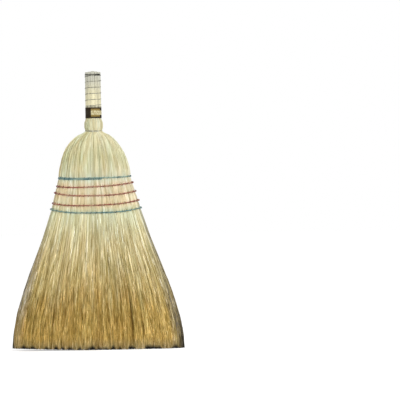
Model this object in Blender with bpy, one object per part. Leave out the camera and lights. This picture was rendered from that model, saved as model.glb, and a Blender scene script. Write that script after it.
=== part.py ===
"""Handleless sorghum broom: a grip of wired stalks, a round neck, and a flat fan sewn in five rows.

Units are metres. +Z is up and the front faces -Y. The broom stands on its trimmed tips, which are at
height 0, and its middle is on the Z axis. Every stalk, every brush of fibre, each length of wire or
twine, and the paper label is its own object.
"""

import functools
import math
import random
from dataclasses import dataclass

import bmesh
import bpy
from mathutils import Vector

# Lengths along the broom
FIBRE_LENGTH = 0.455  # trimmed tips to the middle of the neck wire
KNOT_LENGTH = 0.027  # neck wire to the lower edge of the label
LABEL_HEIGHT = 0.022
GRIP_LENGTH = 0.076  # label to the cut ends of the stalks
STALK_REACH = 0.008  # how far the inner stalks run on below the neck wire
BACKING_TAIL = 0.015  # packed fibre below the last row of sewing

# Stalks of the grip
STALK_DIAMETER = 0.00675
INNER_STALKS = 6
OUTER_STALKS = 2 * INNER_STALKS  # two for each inner one, so that they nest between them
STALK_SIDES = 10
END_CHAMFER = 0.0012
END_STEP = 0.0012  # each ring of stalks is cut this much shorter than the one inside it

# Swelling of the knot and the neck over the stalk bundle
KNOT_SWELL = 0.0026
KNOT_ROUNDNESS = 0.5  # 1 is a sine; less swells out sooner at both ends
KNOT_CUTS = (0.86, 0.5, 0.16)  # up the knot, from the neck wire to the label
NECK_SWELL = 0.0006

# Fan, as full widths and thicknesses
SHOULDER_WIDTH = 0.152  # at the first row of sewing
SEWN_WIDTH = 0.191  # at the last row of sewing
SWEEP_WIDTH = 0.362  # at the trimmed tips
SEWN_THICKNESS = 0.050
SWEEP_THICKNESS = 0.072
FAN_SQUARENESS = 2.8  # exponent of the flat oval; 2 is an ellipse
CORE_SQUARENESS = 4.0
DOME_SPRING = 0.55  # under 1, the dome springs out sharply below the neck
DOME_FULLNESS = 1.7  # over 1, its sides then turn down early
DOME_CUTS = (0.05, 0.17, 0.36, 0.64)  # down the dome, closer where it bends more
SPLAY_BELLY = 1.0  # how far the sides of the loose fibre bow out past a straight line
SHOULDER_DEPTH = 0.018  # shoulder brush at the sewing, from its side to the core
TIP_SHOULDER_DEPTH = 0.026
COVER_DEPTH = 0.015  # front and back brushes at the sewing, from the face to the core
TIP_COVER_DEPTH = 0.023

# Rows of sewing: the drop of each below the neck wire at the middle of the broom, the height that
# it gains at the shoulders, and how much more it gains at the right one than at the left
ROW_1_DROP = 0.0990
ROW_2_DROP = 0.1160
ROW_3_DROP = 0.1345
ROW_4_DROP = 0.1545
ROW_5_DROP = 0.1700
ROW_1_RISE = 0.0031
ROW_2_RISE = 0.0053
ROW_3_RISE = 0.0080
ROW_4_RISE = 0.0078
ROW_5_RISE = 0.0092
ROW_1_TILT = 0.0010
ROW_2_TILT = 0.0030
ROW_3_TILT = 0.0006
ROW_4_TILT = 0.0018
RISE_CURVE = 3  # 1 is a straight slope to the shoulder; more rises late

# Surface of the brushes
FLUTES = 3  # ridges along each cover brush
FLUTE_DEPTH = 0.0007  # where the fibre is packed
TUFT_DEPTH = 0.0030  # at the trimmed tips, where the ridges have opened into tufts
TUFT_UNEVENNESS = 0.35  # how much shallower or deeper a valley is than the next
SEAM_DEPTH = 0.0014  # how far each row of sewing draws the fibre in

# Loose fibre
STRANDS_ACROSS = 4 * FLUTES  # pairs of strands across a cover brush
CORE_COLUMNS = 4  # strand columns in each run of a middle core brush
KNEE_SPREAD = 0.11  # share of a cover's depth that its strands have moved outwards at the knee
TIP_SPREAD = 0.21
KNEE_THINNING = 0.6  # share of the way from its cell's shape to its tip's, at the knee
STRAND_RADIUS = 0.0020  # at the tip
STRAND_KNEE = 0.68  # where a strand bends, as a share of its way down
LONGEST_TRIM = 0.004  # the shortest strand ends this far above the floor

# Wire, twine and label
WIRE_DIAMETER = 0.0014
GRIP_TURNS = 5  # open turns along the grip
END_TURNS = 1.25  # close turns at each end of the grip wire
WIRE_LEAN = 0.0016  # the open turns lie flatter across the front
END_MARGIN = 0.0068  # end of the stalks to the first turn of wire
NECK_TURNS = 2
NECK_WIRE_POINTS = 16  # in each turn
TWINE_DIAMETER = 0.0022
TWINE_POINTS = 24  # in each turn
LABEL_THICKNESS = 0.0004
LABEL_OVERLAP = 0.07  # of a turn
LABEL_STEPS = 52

# Clearances
CLEARANCE = 0.0003  # between a piece and what it lies against
BRUSH_GAP = 0.0004  # between neighbouring brushes
TURN_GAP = 0.0005  # between neighbouring turns of one wire or twine

TURN = 2 * math.pi
QUARTER_STEPS = 90
SECTORS = OUTER_STALKS
CORE_RUNS = 2  # straight runs of the core behind each cover brush
CORE_END_CUT = 0.2  # share of the core's last run that is left off, so that it ends in a blunt edge
DIRECTION_STEP = 0.01  # share of a brush over which the directions at a strand are taken
GOLDEN_ANGLE = 2.4  # steps of this many radians never fall into a pattern
SEED = 7

# Heights and radii that follow
NECK_HEIGHT = FIBRE_LENGTH
LABEL_BOTTOM = NECK_HEIGHT + KNOT_LENGTH
LABEL_TOP = LABEL_BOTTOM + LABEL_HEIGHT
GRIP_TOP = LABEL_TOP + GRIP_LENGTH
STALK_PITCH = STALK_DIAMETER + CLEARANCE
INNER_RING = STALK_PITCH / 2 / math.sin(math.pi / INNER_STALKS)
OUTER_RING = STALK_PITCH / 2 / math.sin(math.pi / OUTER_STALKS)
BUNDLE_RADIUS = OUTER_RING + STALK_DIAMETER / 2
CORE_RADIUS = INNER_RING + STALK_DIAMETER / 2 + CLEARANCE
NECK_RADIUS = BUNDLE_RADIUS + NECK_SWELL
WIRE_STEP = WIRE_DIAMETER + TURN_GAP
NECK_BAND = NECK_TURNS * WIRE_STEP + WIRE_DIAMETER + 2 * CLEARANCE
BUTT_JOINT = LABEL_BOTTOM + LABEL_HEIGHT / 2  # outer stalks meet their brushes under the label


@dataclass(frozen=True)
class StitchRow:
    """One row of sewing: where it runs, and how its twine is wound."""

    name: str
    drop: float
    side_rise: float
    tilt: float
    start: float  # share of the way round, from the right shoulder by the back
    turns: float
    material: str


STITCH_ROWS = [
    StitchRow("stitch_row_1_blue", ROW_1_DROP, ROW_1_RISE, ROW_1_TILT, 0.48, 1.32, "blue_twine"),
    StitchRow("stitch_row_2_red", ROW_2_DROP, ROW_2_RISE, ROW_2_TILT, 0.20, 1.06, "red_twine"),
    StitchRow("stitch_row_3_red", ROW_3_DROP, ROW_3_RISE, ROW_3_TILT, 0.26, 1.06, "red_twine"),
    StitchRow("stitch_row_4_red", ROW_4_DROP, ROW_4_RISE, ROW_4_TILT, 0.18, 1.06, "red_twine"),
    StitchRow("stitch_row_5_blue", ROW_5_DROP, ROW_5_RISE, 0.0, 0.24, 1.06, "blue_twine"),
]
FIRST_DROP = STITCH_ROWS[0].drop
LAST_DROP = STITCH_ROWS[-1].drop
BACKING_DROP = LAST_DROP + BACKING_TAIL


@dataclass(frozen=True)
class Section:
    """One cut through the broom: its outer oval and the oval of the core, each as half width, half
    depth and squareness, and a height that may rise to the sides."""

    height: float
    outer: tuple
    core: tuple
    side_rise: float = 0.0
    tilt: float = 0.0

    def lifted(self, point):
        """The flat point (x, y) at this cut's height there."""
        across = max(-1.0, min(1.0, point.x / self.outer[0]))
        rise = self.side_rise * abs(across) ** RISE_CURVE + self.tilt * across
        return Vector((point.x, point.y, self.height + rise))


# Ovals

@functools.lru_cache(maxsize=None)
def oval_quarter(half_width, half_depth, squareness):
    """Points of a quarter oval from its side to its back, and the length run to each."""
    points = []
    for step in range(QUARTER_STEPS + 1):
        angle = math.pi / 2 * step / QUARTER_STEPS
        x = half_width * max(0.0, math.cos(angle)) ** (2 / squareness)
        y = half_depth * math.sin(angle) ** (2 / squareness)
        points.append((x, y))
    run = [0.0]
    for before, after in zip(points, points[1:]):
        run.append(run[-1] + math.dist(before, after))
    return points, run


def oval_length(oval):
    """Length once round an oval."""
    return 4 * oval_quarter(*oval)[1][-1]


def oval_point(oval, share):
    """The point this share of the way round an oval, from its right side by the back."""
    points, run = oval_quarter(*oval)
    quarter, part = divmod((share % 1.0) * 4, 1.0)
    forward = quarter in (0, 2)
    wanted = (part if forward else 1 - part) * run[-1]
    low, high = 0, len(run) - 1
    while high - low > 1:
        middle = (low + high) // 2
        low, high = (middle, high) if run[middle] <= wanted else (low, middle)
    along = (wanted - run[low]) / (run[high] - run[low])
    x = points[low][0] + along * (points[high][0] - points[low][0])
    y = points[low][1] + along * (points[high][1] - points[low][1])
    return Vector((-x if quarter in (1, 2) else x, -y if quarter in (2, 3) else y))


def mix(start, end, share):
    """From start at share 0 to end at share 1."""
    return start + (end - start) * share


def shrunk(oval, by):
    """The oval with this much less on each half size."""
    return (oval[0] - by, oval[1] - by, oval[2])


# Cuts through the knot and the fan

def round_section(height, radius):
    """A cut through the knot or the neck, where the stalks are the core."""
    return Section(height, (radius, radius, 2.0), (CORE_RADIUS, CORE_RADIUS, 2.0))


def dome_share(drop, start):
    """How much of the spread from the neck to the first row of sewing is reached at a drop."""
    part = max(0.0, min(1.0, (drop - start) / (FIRST_DROP - start)))
    return (1 - (1 - part) ** DOME_FULLNESS) ** DOME_SPRING


def fan_section(drop, seam=0.0, side_rise=0.0, tilt=0.0):
    """The cut at this drop below the neck wire, drawn in by seam."""
    sewn = max(0.0, min(1.0, (drop - FIRST_DROP) / (LAST_DROP - FIRST_DROP)))
    loose = max(0.0, (drop - LAST_DROP) / (FIBRE_LENGTH - LAST_DROP))
    spread = loose + SPLAY_BELLY * loose**2 * (1 - loose)
    width = mix(mix(SHOULDER_WIDTH, SEWN_WIDTH, sewn), SWEEP_WIDTH, spread) / 2
    depth = mix(SEWN_THICKNESS, SWEEP_THICKNESS, loose) / 2
    side = mix(SHOULDER_DEPTH, TIP_SHOULDER_DEPTH, loose)
    cover = mix(COVER_DEPTH, TIP_COVER_DEPTH, loose)
    spring = dome_share(drop, NECK_BAND / 2)
    outer = (
        mix(NECK_RADIUS, width, spring) - seam,
        mix(NECK_RADIUS, depth, spring) - seam,
        mix(2.0, FAN_SQUARENESS, spring),
    )
    spring = dome_share(drop, STALK_REACH)
    core = (
        mix(CORE_RADIUS, width - side, spring),
        mix(CORE_RADIUS, depth - cover, spring),
        mix(2.0, CORE_SQUARENESS, spring),
    )
    return Section(NECK_HEIGHT - drop, outer, core, side_rise, tilt)


def knot_sections():
    """Cuts from the butts of the brushes, under the label, down to the groove of the neck wire."""
    sections = [
        round_section(BUTT_JOINT - CLEARANCE, BUNDLE_RADIUS),
        round_section(LABEL_BOTTOM, BUNDLE_RADIUS),
    ]
    groove_top = NECK_HEIGHT + NECK_BAND / 2
    for part in KNOT_CUTS:
        swell = KNOT_SWELL * math.sin(math.pi * part) ** KNOT_ROUNDNESS
        sections.append(round_section(mix(groove_top, LABEL_BOTTOM, part), BUNDLE_RADIUS + swell))
    sections.append(round_section(groove_top, NECK_RADIUS))
    sections.append(round_section(NECK_HEIGHT - NECK_BAND / 2, NECK_RADIUS))
    return sections


def row_section(row):
    """The cut along a row of sewing."""
    return fan_section(row.drop, SEAM_DEPTH, row.side_rise, row.tilt)


def fan_sections():
    """Cuts from the lower ends of the inner stalks to the end of the packed fibre."""
    sections = [fan_section(STALK_REACH)]
    for part in DOME_CUTS:
        sections.append(fan_section(mix(STALK_REACH, FIRST_DROP, part)))
    for row, following in zip(STITCH_ROWS, STITCH_ROWS[1:]):
        sections.append(row_section(row))
        rise = (row.side_rise + following.side_rise) / 2
        tilt = (row.tilt + following.tilt) / 2
        sections.append(fan_section((row.drop + following.drop) / 2, 0.0, rise, tilt))
    sections.append(row_section(STITCH_ROWS[-1]))
    sections.append(fan_section(BACKING_DROP))
    return sections


# Outlines of the brushes

def cover_point(section, share, depth, sunk):
    """A point of a cut between its outer edge, at depth 0, and its core, at depth 1.

    The outer edge lies this far below the outer oval.
    """
    outside = oval_point(section.outer, share)
    inside = oval_point(section.core, share)
    outside += (inside - outside).normalized() * sunk
    return section.lifted(mix(outside, inside, depth))


def sector_share(section, sector, part, oval):
    """Where part of the way across a sector lies on an oval, clear of the sectors beside it."""
    margin = BRUSH_GAP / 2 / oval_length(oval)
    low = (sector - 0.5) / SECTORS + margin
    high = (sector + 0.5) / SECTORS - margin
    return mix(low, high, part)


def valley_depth(section, sector, across):
    """Depth of the surface of a cover brush below its ridges at a cut.

    The valleys lie between its ridges and along its sides. Down the loose fibre they deepen, each
    by its own amount.
    """
    loose = max(0.0, (NECK_HEIGHT - section.height - LAST_DROP) / (FIBRE_LENGTH - LAST_DROP))
    valley = sector * FLUTES + round(across * FLUTES)
    own = 1 + TUFT_UNEVENNESS * math.sin(GOLDEN_ANGLE * (valley % (SECTORS * FLUTES)))
    from_ridge = abs(2 * (across * FLUTES % 1.0) - 1)
    return mix(FLUTE_DEPTH, TUFT_DEPTH * own, loose) * from_ridge


def cover_outside(section, sector):
    """The fluted outer edge of one cover brush at a cut."""
    points = []
    for step in range(2 * FLUTES + 1):
        across = step / (2 * FLUTES)
        share = sector_share(section, sector, across, section.outer)
        outside, inside = oval_point(section.outer, share), oval_point(section.core, share)
        sunk = valley_depth(section, sector, across)
        points.append(section.lifted(outside + (inside - outside).normalized() * sunk))
    return points


def parted(ends, each):
    """A row of points with every run between two of them parted into this many steps."""
    points = [
        mix(near, far, step / each) for near, far in zip(ends, ends[1:]) for step in range(each)
    ]
    return points + ends[-1:]


def cover_inside(section, sector):
    """The inner edge of one cover brush at a cut."""
    points = []
    for run in range(CORE_RUNS + 1):
        share = sector_share(section, sector, run / CORE_RUNS, section.core)
        points.append(section.lifted(oval_point(section.core, share)))
    return points


def core_corner(section, column, back):
    """A corner of the core at a cut. Columns run from 0, at the right side, to the sector count."""
    oval = shrunk(section.core, BRUSH_GAP)
    shares = 2 * SECTORS
    point = oval_point(oval, column / shares)
    if column in (0, SECTORS):
        beside = oval_point(oval, (column + (1 if column == 0 else -1)) / shares)
        point = mix(point, beside, CORE_END_CUT)
    return Vector((point.x, point.y if back else -point.y))


def core_point(section, group, part, back_part):
    """A point of one core brush at a cut: part of the way to its left, and front to back."""
    run, inner = divmod(2 * part, 1.0)
    first = 2 * group + min(int(run), 1)
    inner = inner if run < 2 else 1.0
    sides = []
    for back in (False, True):
        near, far = core_corner(section, first, back), core_corner(section, first + 1, back)
        sides.append(mix(near, far, inner))
    point = mix(sides[0], sides[1], back_part)
    point.x += BRUSH_GAP / 2 * (2 * part - 1)
    return section.lifted(point)


# Strands

class StrandGrower:
    """Grows loose strands out of the triangles under a packed brush.

    Each strand is a three-sided rod that leaves its whole root, bends at the knee and ends at the
    floor. Neighbours part from their shared edge as they thin out.
    """

    def __init__(self, mesh, place):
        """place(section, across, deep) is the point of the brush at a cut."""
        self.mesh = mesh
        self.place = place
        self.knee = fan_section(mix(BACKING_DROP, FIBRE_LENGTH, STRAND_KNEE))
        self.tip = fan_section(FIBRE_LENGTH)

    def arms(self, section, across, deep, outer):
        """From the middle of a strand at a cut to its three corners, as wide as at the tip."""
        here = self.place(section, across, deep)
        along = self.place(section, across + DIRECTION_STEP, deep) - here
        out = here - self.place(section, across, deep + DIRECTION_STEP)
        half = out.normalized() * STRAND_RADIUS / 2
        side = along.normalized() * STRAND_RADIUS * math.sqrt(3) / 2
        if outer:
            return half - side, half + side, -2 * half
        return 2 * half, side - half, -side - half

    def grow(self, corners, cell, spreads, trim):
        """Grows one strand from its root corners to its tip.

        The cell holds the corners' places on the brush, as shares across it and deep into it.
        """
        across = sum(place[0] for place in cell) / 3
        deep = sum(place[1] for place in cell) / 3
        outer = sum(place[1] < deep for place in cell) == 2
        cuts = ((self.knee, KNEE_THINNING, spreads[0]), (self.tip, 1.0, spreads[1]))
        rings = [corners]
        for section, thinned, moved in cuts:
            middle = self.place(section, across, deep - moved)
            thin = self.arms(section, across, deep - moved, outer)
            wide = [self.place(section, share, depth - moved) - middle for share, depth in cell]
            ring = [middle + mix(arm, slim, thinned) for arm, slim in zip(wide, thin)]
            if section is self.tip:
                for point in ring:
                    point.z = trim
            rings.append([self.mesh.verts.new(point) for point in ring])
        for above, below in zip(rings, rings[1:]):
            for side in ((0, 1), (1, 2), (2, 0)):
                first, second = sorted(side, key=lambda i: (cell[i][1], cell[i][0]))
                wall(self.mesh, (above[first], above[second]), (below[first], below[second]))
        self.mesh.faces.new(rings[-1])

    def grow_cells(self, outside, inside, depths, spreads, heights):
        """Grows two strands from each cell between two rows of root points at these depths."""
        count = len(outside) - 1
        near, far = depths
        for i in range(count):
            low, high = i / count, (i + 1) / count
            corners = (outside[i], outside[i + 1], inside[i])
            cell = ((low, near), (high, near), (low, far))
            self.grow(corners, cell, spreads, next(heights))
            corners = (outside[i + 1], inside[i + 1], inside[i])
            cell = ((high, near), (high, far), (low, far))
            self.grow(corners, cell, spreads, next(heights))


def trims(count, chance):
    """Heights of strand tips above the floor. Every other one is trimmed flush."""
    return [LONGEST_TRIM * chance.random() if i % 2 else 0.0 for i in range(count)]


# Scene

def clear_scene():
    """Removes what the scene holds."""
    for item in list(bpy.data.objects):
        bpy.data.objects.remove(item)


@functools.lru_cache(maxsize=None)
def parts_collection():
    """The collection that holds the broom."""
    collection = bpy.data.collections.new("handleless_broom")
    bpy.context.scene.collection.children.link(collection)
    return collection


@functools.lru_cache(maxsize=None)
def material(name):
    """The named finish."""
    colours = {
        "stalk": ((0.66, 0.60, 0.38), 0.6, 0.0),
        "straw": ((0.60, 0.50, 0.26), 0.7, 0.0),
        "blue_twine": ((0.06, 0.18, 0.26), 0.75, 0.0),
        "red_twine": ((0.45, 0.06, 0.05), 0.75, 0.0),
        "wire": ((0.32, 0.32, 0.30), 0.4, 1.0),
        "label": ((0.50, 0.40, 0.18), 0.6, 0.0),
    }
    colour, roughness, metallic = colours[name]
    finish = bpy.data.materials.new(name)
    finish.use_nodes = True
    shader = finish.node_tree.nodes["Principled BSDF"]
    shader.inputs["Base Color"].default_value = (*colour, 1.0)
    shader.inputs["Roughness"].default_value = roughness
    shader.inputs["Metallic"].default_value = metallic
    return finish


def add_object(name, data, finish):
    """Puts mesh or curve data in the broom's collection as one named piece."""
    piece = bpy.data.objects.new(name, data)
    data.materials.append(material(finish))
    parts_collection().objects.link(piece)
    return piece


def add_mesh(name, mesh, finish):
    """Turns edit-mesh data into one named piece with outward faces."""
    bmesh.ops.recalc_face_normals(mesh, faces=mesh.faces)
    data = bpy.data.meshes.new(name)
    mesh.to_mesh(data)
    mesh.free()
    return add_object(name, data, finish)


# Stalks

def add_stalk(name, centre, bottom, top):
    """One straight stalk with its upper rim cut round."""
    mesh = bmesh.new()
    radius = STALK_DIAMETER / 2
    bmesh.ops.create_cone(
        mesh, cap_ends=True, segments=STALK_SIDES, radius1=radius, radius2=radius, depth=top - bottom
    )
    rim = [e for e in mesh.edges if all(v.co.z > 0 for v in e.verts)]
    bmesh.ops.bevel(mesh, geom=rim, offset=END_CHAMFER, segments=1, affect="EDGES")
    piece = add_mesh(name, mesh, "stalk")
    piece.location = (centre.x, centre.y, (top + bottom) / 2)
    piece.data.shade_smooth()
    piece.data.set_sharp_from_angle(angle=math.radians(50))


def ring_place(radius, angle):
    """The centre of a stalk on a ring."""
    return Vector((radius * math.cos(angle), radius * math.sin(angle)))


def add_stalks():
    """The stalk bundle of the grip: one in the middle, a ring round it, and an outer ring."""
    bottom = NECK_HEIGHT - STALK_REACH + CLEARANCE
    add_stalk("stalk_centre", Vector((0.0, 0.0)), bottom, GRIP_TOP)
    for i in range(INNER_STALKS):
        angle = TURN * (i + 0.25) / INNER_STALKS
        top = GRIP_TOP - END_STEP
        add_stalk(f"stalk_inner_{i + 1}", ring_place(INNER_RING, angle), bottom, top)
    for i in range(OUTER_STALKS):
        angle = TURN * i / OUTER_STALKS
        top = GRIP_TOP - 2 * END_STEP
        add_stalk(f"stalk_outer_{i + 1:02d}", ring_place(OUTER_RING, angle), BUTT_JOINT, top)


# Brushes

def wall(mesh, upper, lower):
    """Triangles between two upper corners and a row of points below them.

    Walls that face each other across a gap take their corners in the same order, so that their
    creases match.
    """
    first, second = upper
    for here, following in zip(lower, lower[1:]):
        mesh.faces.new((first, here, following))
    mesh.faces.new((first, lower[-1], second))


def runs(points, count):
    """A row of points in this many equal runs, which share their end points."""
    steps = (len(points) - 1) // count
    return [points[run * steps : (run + 1) * steps + 1] for run in range(count)]


def cover_ring(mesh, section, sector, steps=None):
    """The points of a cover brush at a cut, as its outer edge and its inner edge. Where steps are
    given, each edge has that many."""
    edges = []
    for ends in (cover_outside(section, sector), cover_inside(section, sector)):
        each = steps // (len(ends) - 1) if steps else 1
        edges.append([mesh.verts.new(point) for point in parted(ends, each)])
    return edges


def join_cover_rings(mesh, above, below):
    """Walls all round a cover brush between two cuts."""
    for edge, count in ((0, 2 * FLUTES), (1, CORE_RUNS)):
        for upper, lower in zip(runs(above[edge], count), runs(below[edge], count)):
            wall(mesh, upper, lower)
    for end in (0, -1):
        wall(mesh, (above[0][end], above[1][end]), (below[0][end], below[1][end]))


def add_cover_brush(name, sector, chance):
    """One outer brush: its butt at the knot, its packed and sewn length, and its loose strands."""
    mesh = bmesh.new()
    sections = knot_sections() + fan_sections()
    rings = [cover_ring(mesh, section, sector) for section in sections[:-1]]
    rings.append(cover_ring(mesh, sections[-1], sector, STRANDS_ACROSS))
    for above, below in zip(rings, rings[1:]):
        join_cover_rings(mesh, above, below)
    mesh.faces.new(rings[0][0] + rings[0][1][::-1])

    def place(section, across, deep):
        share = sector_share(section, sector, across, section.outer)
        return cover_point(section, share, deep, valley_depth(section, sector, across))

    heights = iter(trims(2 * STRANDS_ACROSS, chance))
    spreads = (KNEE_SPREAD, TIP_SPREAD)
    StrandGrower(mesh, place).grow_cells(*rings[-1], (0.0, 1.0), spreads, heights)
    add_mesh(name, mesh, "straw")


def core_ring(mesh, section, group, columns, depths):
    """The points of a core brush at a cut: rows from its back to its front, each from the right."""
    parts = [step / (CORE_RUNS * columns) for step in range(CORE_RUNS * columns + 1)]
    return [
        [mesh.verts.new(core_point(section, group, part, depth)) for part in parts]
        for depth in depths
    ]


def join_core_rings(mesh, above, below):
    """Walls all round a core brush between two cuts."""
    for upper_row, lower_row in ((above[0], below[0]), (above[-1][::-1], below[-1][::-1])):
        for upper, lower in zip(runs(upper_row, CORE_RUNS), runs(lower_row, CORE_RUNS)):
            wall(mesh, upper, lower)
    for end in (0, -1):
        wall(mesh, (above[0][end], above[-1][end]), [row[end] for row in below])


def add_core_brush(name, group, columns, chance):
    """One brush of the filling between the covers, with this many strand columns in each run."""
    mesh = bmesh.new()
    sections = fan_sections()
    rings = [core_ring(mesh, section, group, 1, (1.0, 0.0)) for section in sections[:-1]]
    rings.append(core_ring(mesh, sections[-1], group, columns, (1.0, 0.5, 0.0)))
    for above, below in zip(rings, rings[1:]):
        join_core_rings(mesh, above, below)
    mesh.faces.new(rings[0][0] + rings[0][1][::-1])

    def place(section, part, deep):
        return core_point(section, group, part, 1 - deep)

    grower = StrandGrower(mesh, place)
    heights = iter(trims(4 * CORE_RUNS * columns, chance))
    back, middle, front = rings[-1]
    grower.grow_cells(back, middle, (0.0, 0.5), (0.0, 0.0), heights)
    grower.grow_cells(middle, front, (0.5, 1.0), (0.0, 0.0), heights)
    add_mesh(name, mesh, "straw")


def add_brushes():
    """Covers all round, named by their side, and the core between them."""
    chance = random.Random(SEED)
    half = SECTORS // 2
    for sector in range(SECTORS):
        if sector == 0:
            name = "brush_shoulder_right"
        elif sector == half:
            name = "brush_shoulder_left"
        elif sector < half:
            name = f"brush_back_{sector}"
        else:
            name = f"brush_front_{sector - half}"
        add_cover_brush(name, sector, chance)
    for group in range(half):
        columns = 1 if group in (0, half - 1) else CORE_COLUMNS
        add_core_brush(f"brush_core_{group + 1}", group, columns, chance)


# Wire, twine and label

def least_gap(points, diameter):
    """The least gap between two turns of a tube, measured on points one diameter apart."""
    samples = []
    for before, after in zip(points, points[1:]):
        steps = math.ceil((after - before).length / diameter)
        samples += [mix(before, after, step / steps) for step in range(steps)]
    samples.append(points[-1])
    run = [0.0]
    for before, after in zip(samples, samples[1:]):
        run.append(run[-1] + (after - before).length)
    least = math.inf
    for i, first in enumerate(samples):
        for j in range(i + 1, len(samples)):
            apart = (samples[j] - first).length
            if run[j] - run[i] > 3 * apart + 4 * diameter:
                least = min(least, apart - diameter)
    return least


def add_tube(name, points, diameter, finish):
    """A round tube along the points, with closed ends."""
    curve = bpy.data.curves.new(name, "CURVE")
    curve.dimensions = "3D"
    curve.bevel_depth = diameter / 2
    curve.bevel_resolution = 1
    curve.use_fill_caps = True
    spline = curve.splines.new("POLY")
    spline.points.add(len(points) - 1)
    for target, point in zip(spline.points, points):
        target.co = (*point, 1.0)
    add_object(name, curve, finish)
    print(f"{name}: least gap to itself {least_gap(points, diameter) * 1000:.2f} mm")


def grip_wire_height(turn, top, bottom):
    """Height of the grip wire after this many turns: close turns, open turns, close turns."""
    close = END_TURNS * WIRE_STEP
    open_step = (top - bottom - 2 * close) / GRIP_TURNS
    opened = max(0.0, min(GRIP_TURNS, turn - END_TURNS))
    return top - WIRE_STEP * (turn - opened) - open_step * opened


def add_grip_wire():
    """One wire wound down the grip, from crest to crest of the outer stalks."""
    radius = BUNDLE_RADIUS + CLEARANCE + WIRE_DIAMETER / 2
    top = GRIP_TOP - END_MARGIN
    bottom = LABEL_TOP + WIRE_DIAMETER / 2 + 2 * CLEARANCE
    turns = GRIP_TURNS + 2 * END_TURNS
    points = []
    for step in range(round(turns * OUTER_STALKS) + 1):
        turn = step / OUTER_STALKS
        angle = -TURN * turn
        inside = max(0.0, min(1.0, turn - END_TURNS, turns - END_TURNS - turn))
        lean = -WIRE_LEAN * math.cos(angle) * inside
        height = grip_wire_height(turn, top, bottom) + lean
        points.append(Vector((radius * math.cos(angle), radius * math.sin(angle), height)))
    add_tube("grip_wire", points, WIRE_DIAMETER, "wire")


def add_neck_wire():
    """The wire that draws the neck in, in turns that lie side by side."""
    radius = NECK_RADIUS + CLEARANCE + WIRE_DIAMETER / 2
    corner = radius / math.cos(math.pi / NECK_WIRE_POINTS)
    points = []
    for step in range(NECK_TURNS * NECK_WIRE_POINTS + 1):
        turn = step / NECK_WIRE_POINTS
        angle = TURN * turn
        height = NECK_HEIGHT + WIRE_STEP * (NECK_TURNS / 2 - turn)
        points.append(Vector((corner * math.cos(angle), corner * math.sin(angle), height)))
    add_tube("neck_wire", points, WIRE_DIAMETER, "wire")


def bend_weights(oval):
    """Running weight round an oval that grows with length and bend, at even shares."""
    samples = 4 * QUARTER_STEPS
    points = [oval_point(oval, i / samples) for i in range(samples)]
    weights = [0.0]
    for i in range(samples):
        before, here, after = points[i - 1], points[i], points[(i + 1) % samples]
        bend = (here - before).angle(after - here, 0.0)
        weights.append(weights[-1] + math.sqrt((after - here).length * bend))
    return weights


def shares_by_bend(weights, count):
    """Shares of the way round that put this many points closest where the oval bends most."""
    shares = []
    i = 0
    for n in range(count):
        wanted = weights[-1] * n / count
        while weights[i + 1] < wanted:
            i += 1
        part = (wanted - weights[i]) / (weights[i + 1] - weights[i])
        shares.append((i + part) / (len(weights) - 1))
    return shares


def twine_lay(row, turn):
    """How far above the groove's middle the twine lies after this many turns.

    Lapped turns lie side by side, and a single turn lies in the middle.
    """
    lap = row.turns - 1
    single = max(0.0, min(1.0, (turn - lap) / (1 - lap)))
    return (TWINE_DIAMETER + TURN_GAP) / 2 * (1 - 2 * single) ** 3


def add_stitch_row(row):
    """The twine of one row, wound round the fan in the groove that it draws."""
    section = row_section(row)
    weights = bend_weights(section.outer)
    bow = (weights[-1] / TWINE_POINTS) ** 2 / 8
    seat = TWINE_DIAMETER / 2 + 2 * CLEARANCE + bow
    path = (section.outer[0] + seat, section.outer[1] + seat, section.outer[2])
    around = oval_length(path)
    end = row.start + row.turns
    fixed = [row.start, end - 1, row.start + 1, end]
    bends = [
        share + lap
        for lap in range(math.ceil(end) + 1)
        for share in shares_by_bend(weights, TWINE_POINTS)
        if row.start < share + lap < end
        and min(abs(share + lap - other) for other in fixed) > TWINE_DIAMETER / around
    ]
    points = []
    for share in sorted(fixed + bends):
        place = section.lifted(oval_point(path, share))
        place.z += twine_lay(row, share - row.start)
        points.append(place)
    add_tube(row.name, points, TWINE_DIAMETER, row.material)


def add_label():
    """The paper band round the foot of the grip, with one end lapped over the other."""
    curve = bpy.data.curves.new("label_band", "CURVE")
    curve.dimensions = "2D"
    curve.fill_mode = "BOTH"
    curve.extrude = LABEL_HEIGHT / 2
    inner, outer = [], []
    for step in range(LABEL_STEPS + 1):
        turn = (1 + LABEL_OVERLAP) * step / LABEL_STEPS
        lap = max(0.0, min(1.0, (turn - 1 + LABEL_OVERLAP) / LABEL_OVERLAP))
        radius = BUNDLE_RADIUS + CLEARANCE + lap * (LABEL_THICKNESS + CLEARANCE)
        angle = TURN * (0.25 + turn)
        direction = Vector((math.cos(angle), math.sin(angle)))
        inner.append(direction * radius)
        outer.append(direction * (radius + LABEL_THICKNESS))
    spline = curve.splines.new("POLY")
    outline = inner + outer[::-1]
    spline.points.add(len(outline) - 1)
    spline.use_cyclic_u = True
    for target, point in zip(spline.points, outline):
        target.co = (point.x, point.y, 0.0, 1.0)
    piece = add_object("label_band", curve, "label")
    piece.location.z = LABEL_BOTTOM + LABEL_HEIGHT / 2


def main():
    """Builds the broom."""
    clear_scene()
    add_stalks()
    add_brushes()
    add_grip_wire()
    add_neck_wire()
    for row in STITCH_ROWS:
        add_stitch_row(row)
    add_label()


main()
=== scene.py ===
"""Looks of the handleless sorghum broom: fibre, sewing, wired stalk grip and paper label.

Units are metres, +Z is up along the broom and the front faces -Y. The broom stands on its trimmed
tips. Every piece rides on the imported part's only body, and all but the stitches stand for one of
its solids.
"""

import logging
import math
from collections.abc import Callable, Iterator
from contextlib import contextmanager
from dataclasses import dataclass, field
from enum import Enum
from functools import lru_cache, partial

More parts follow.
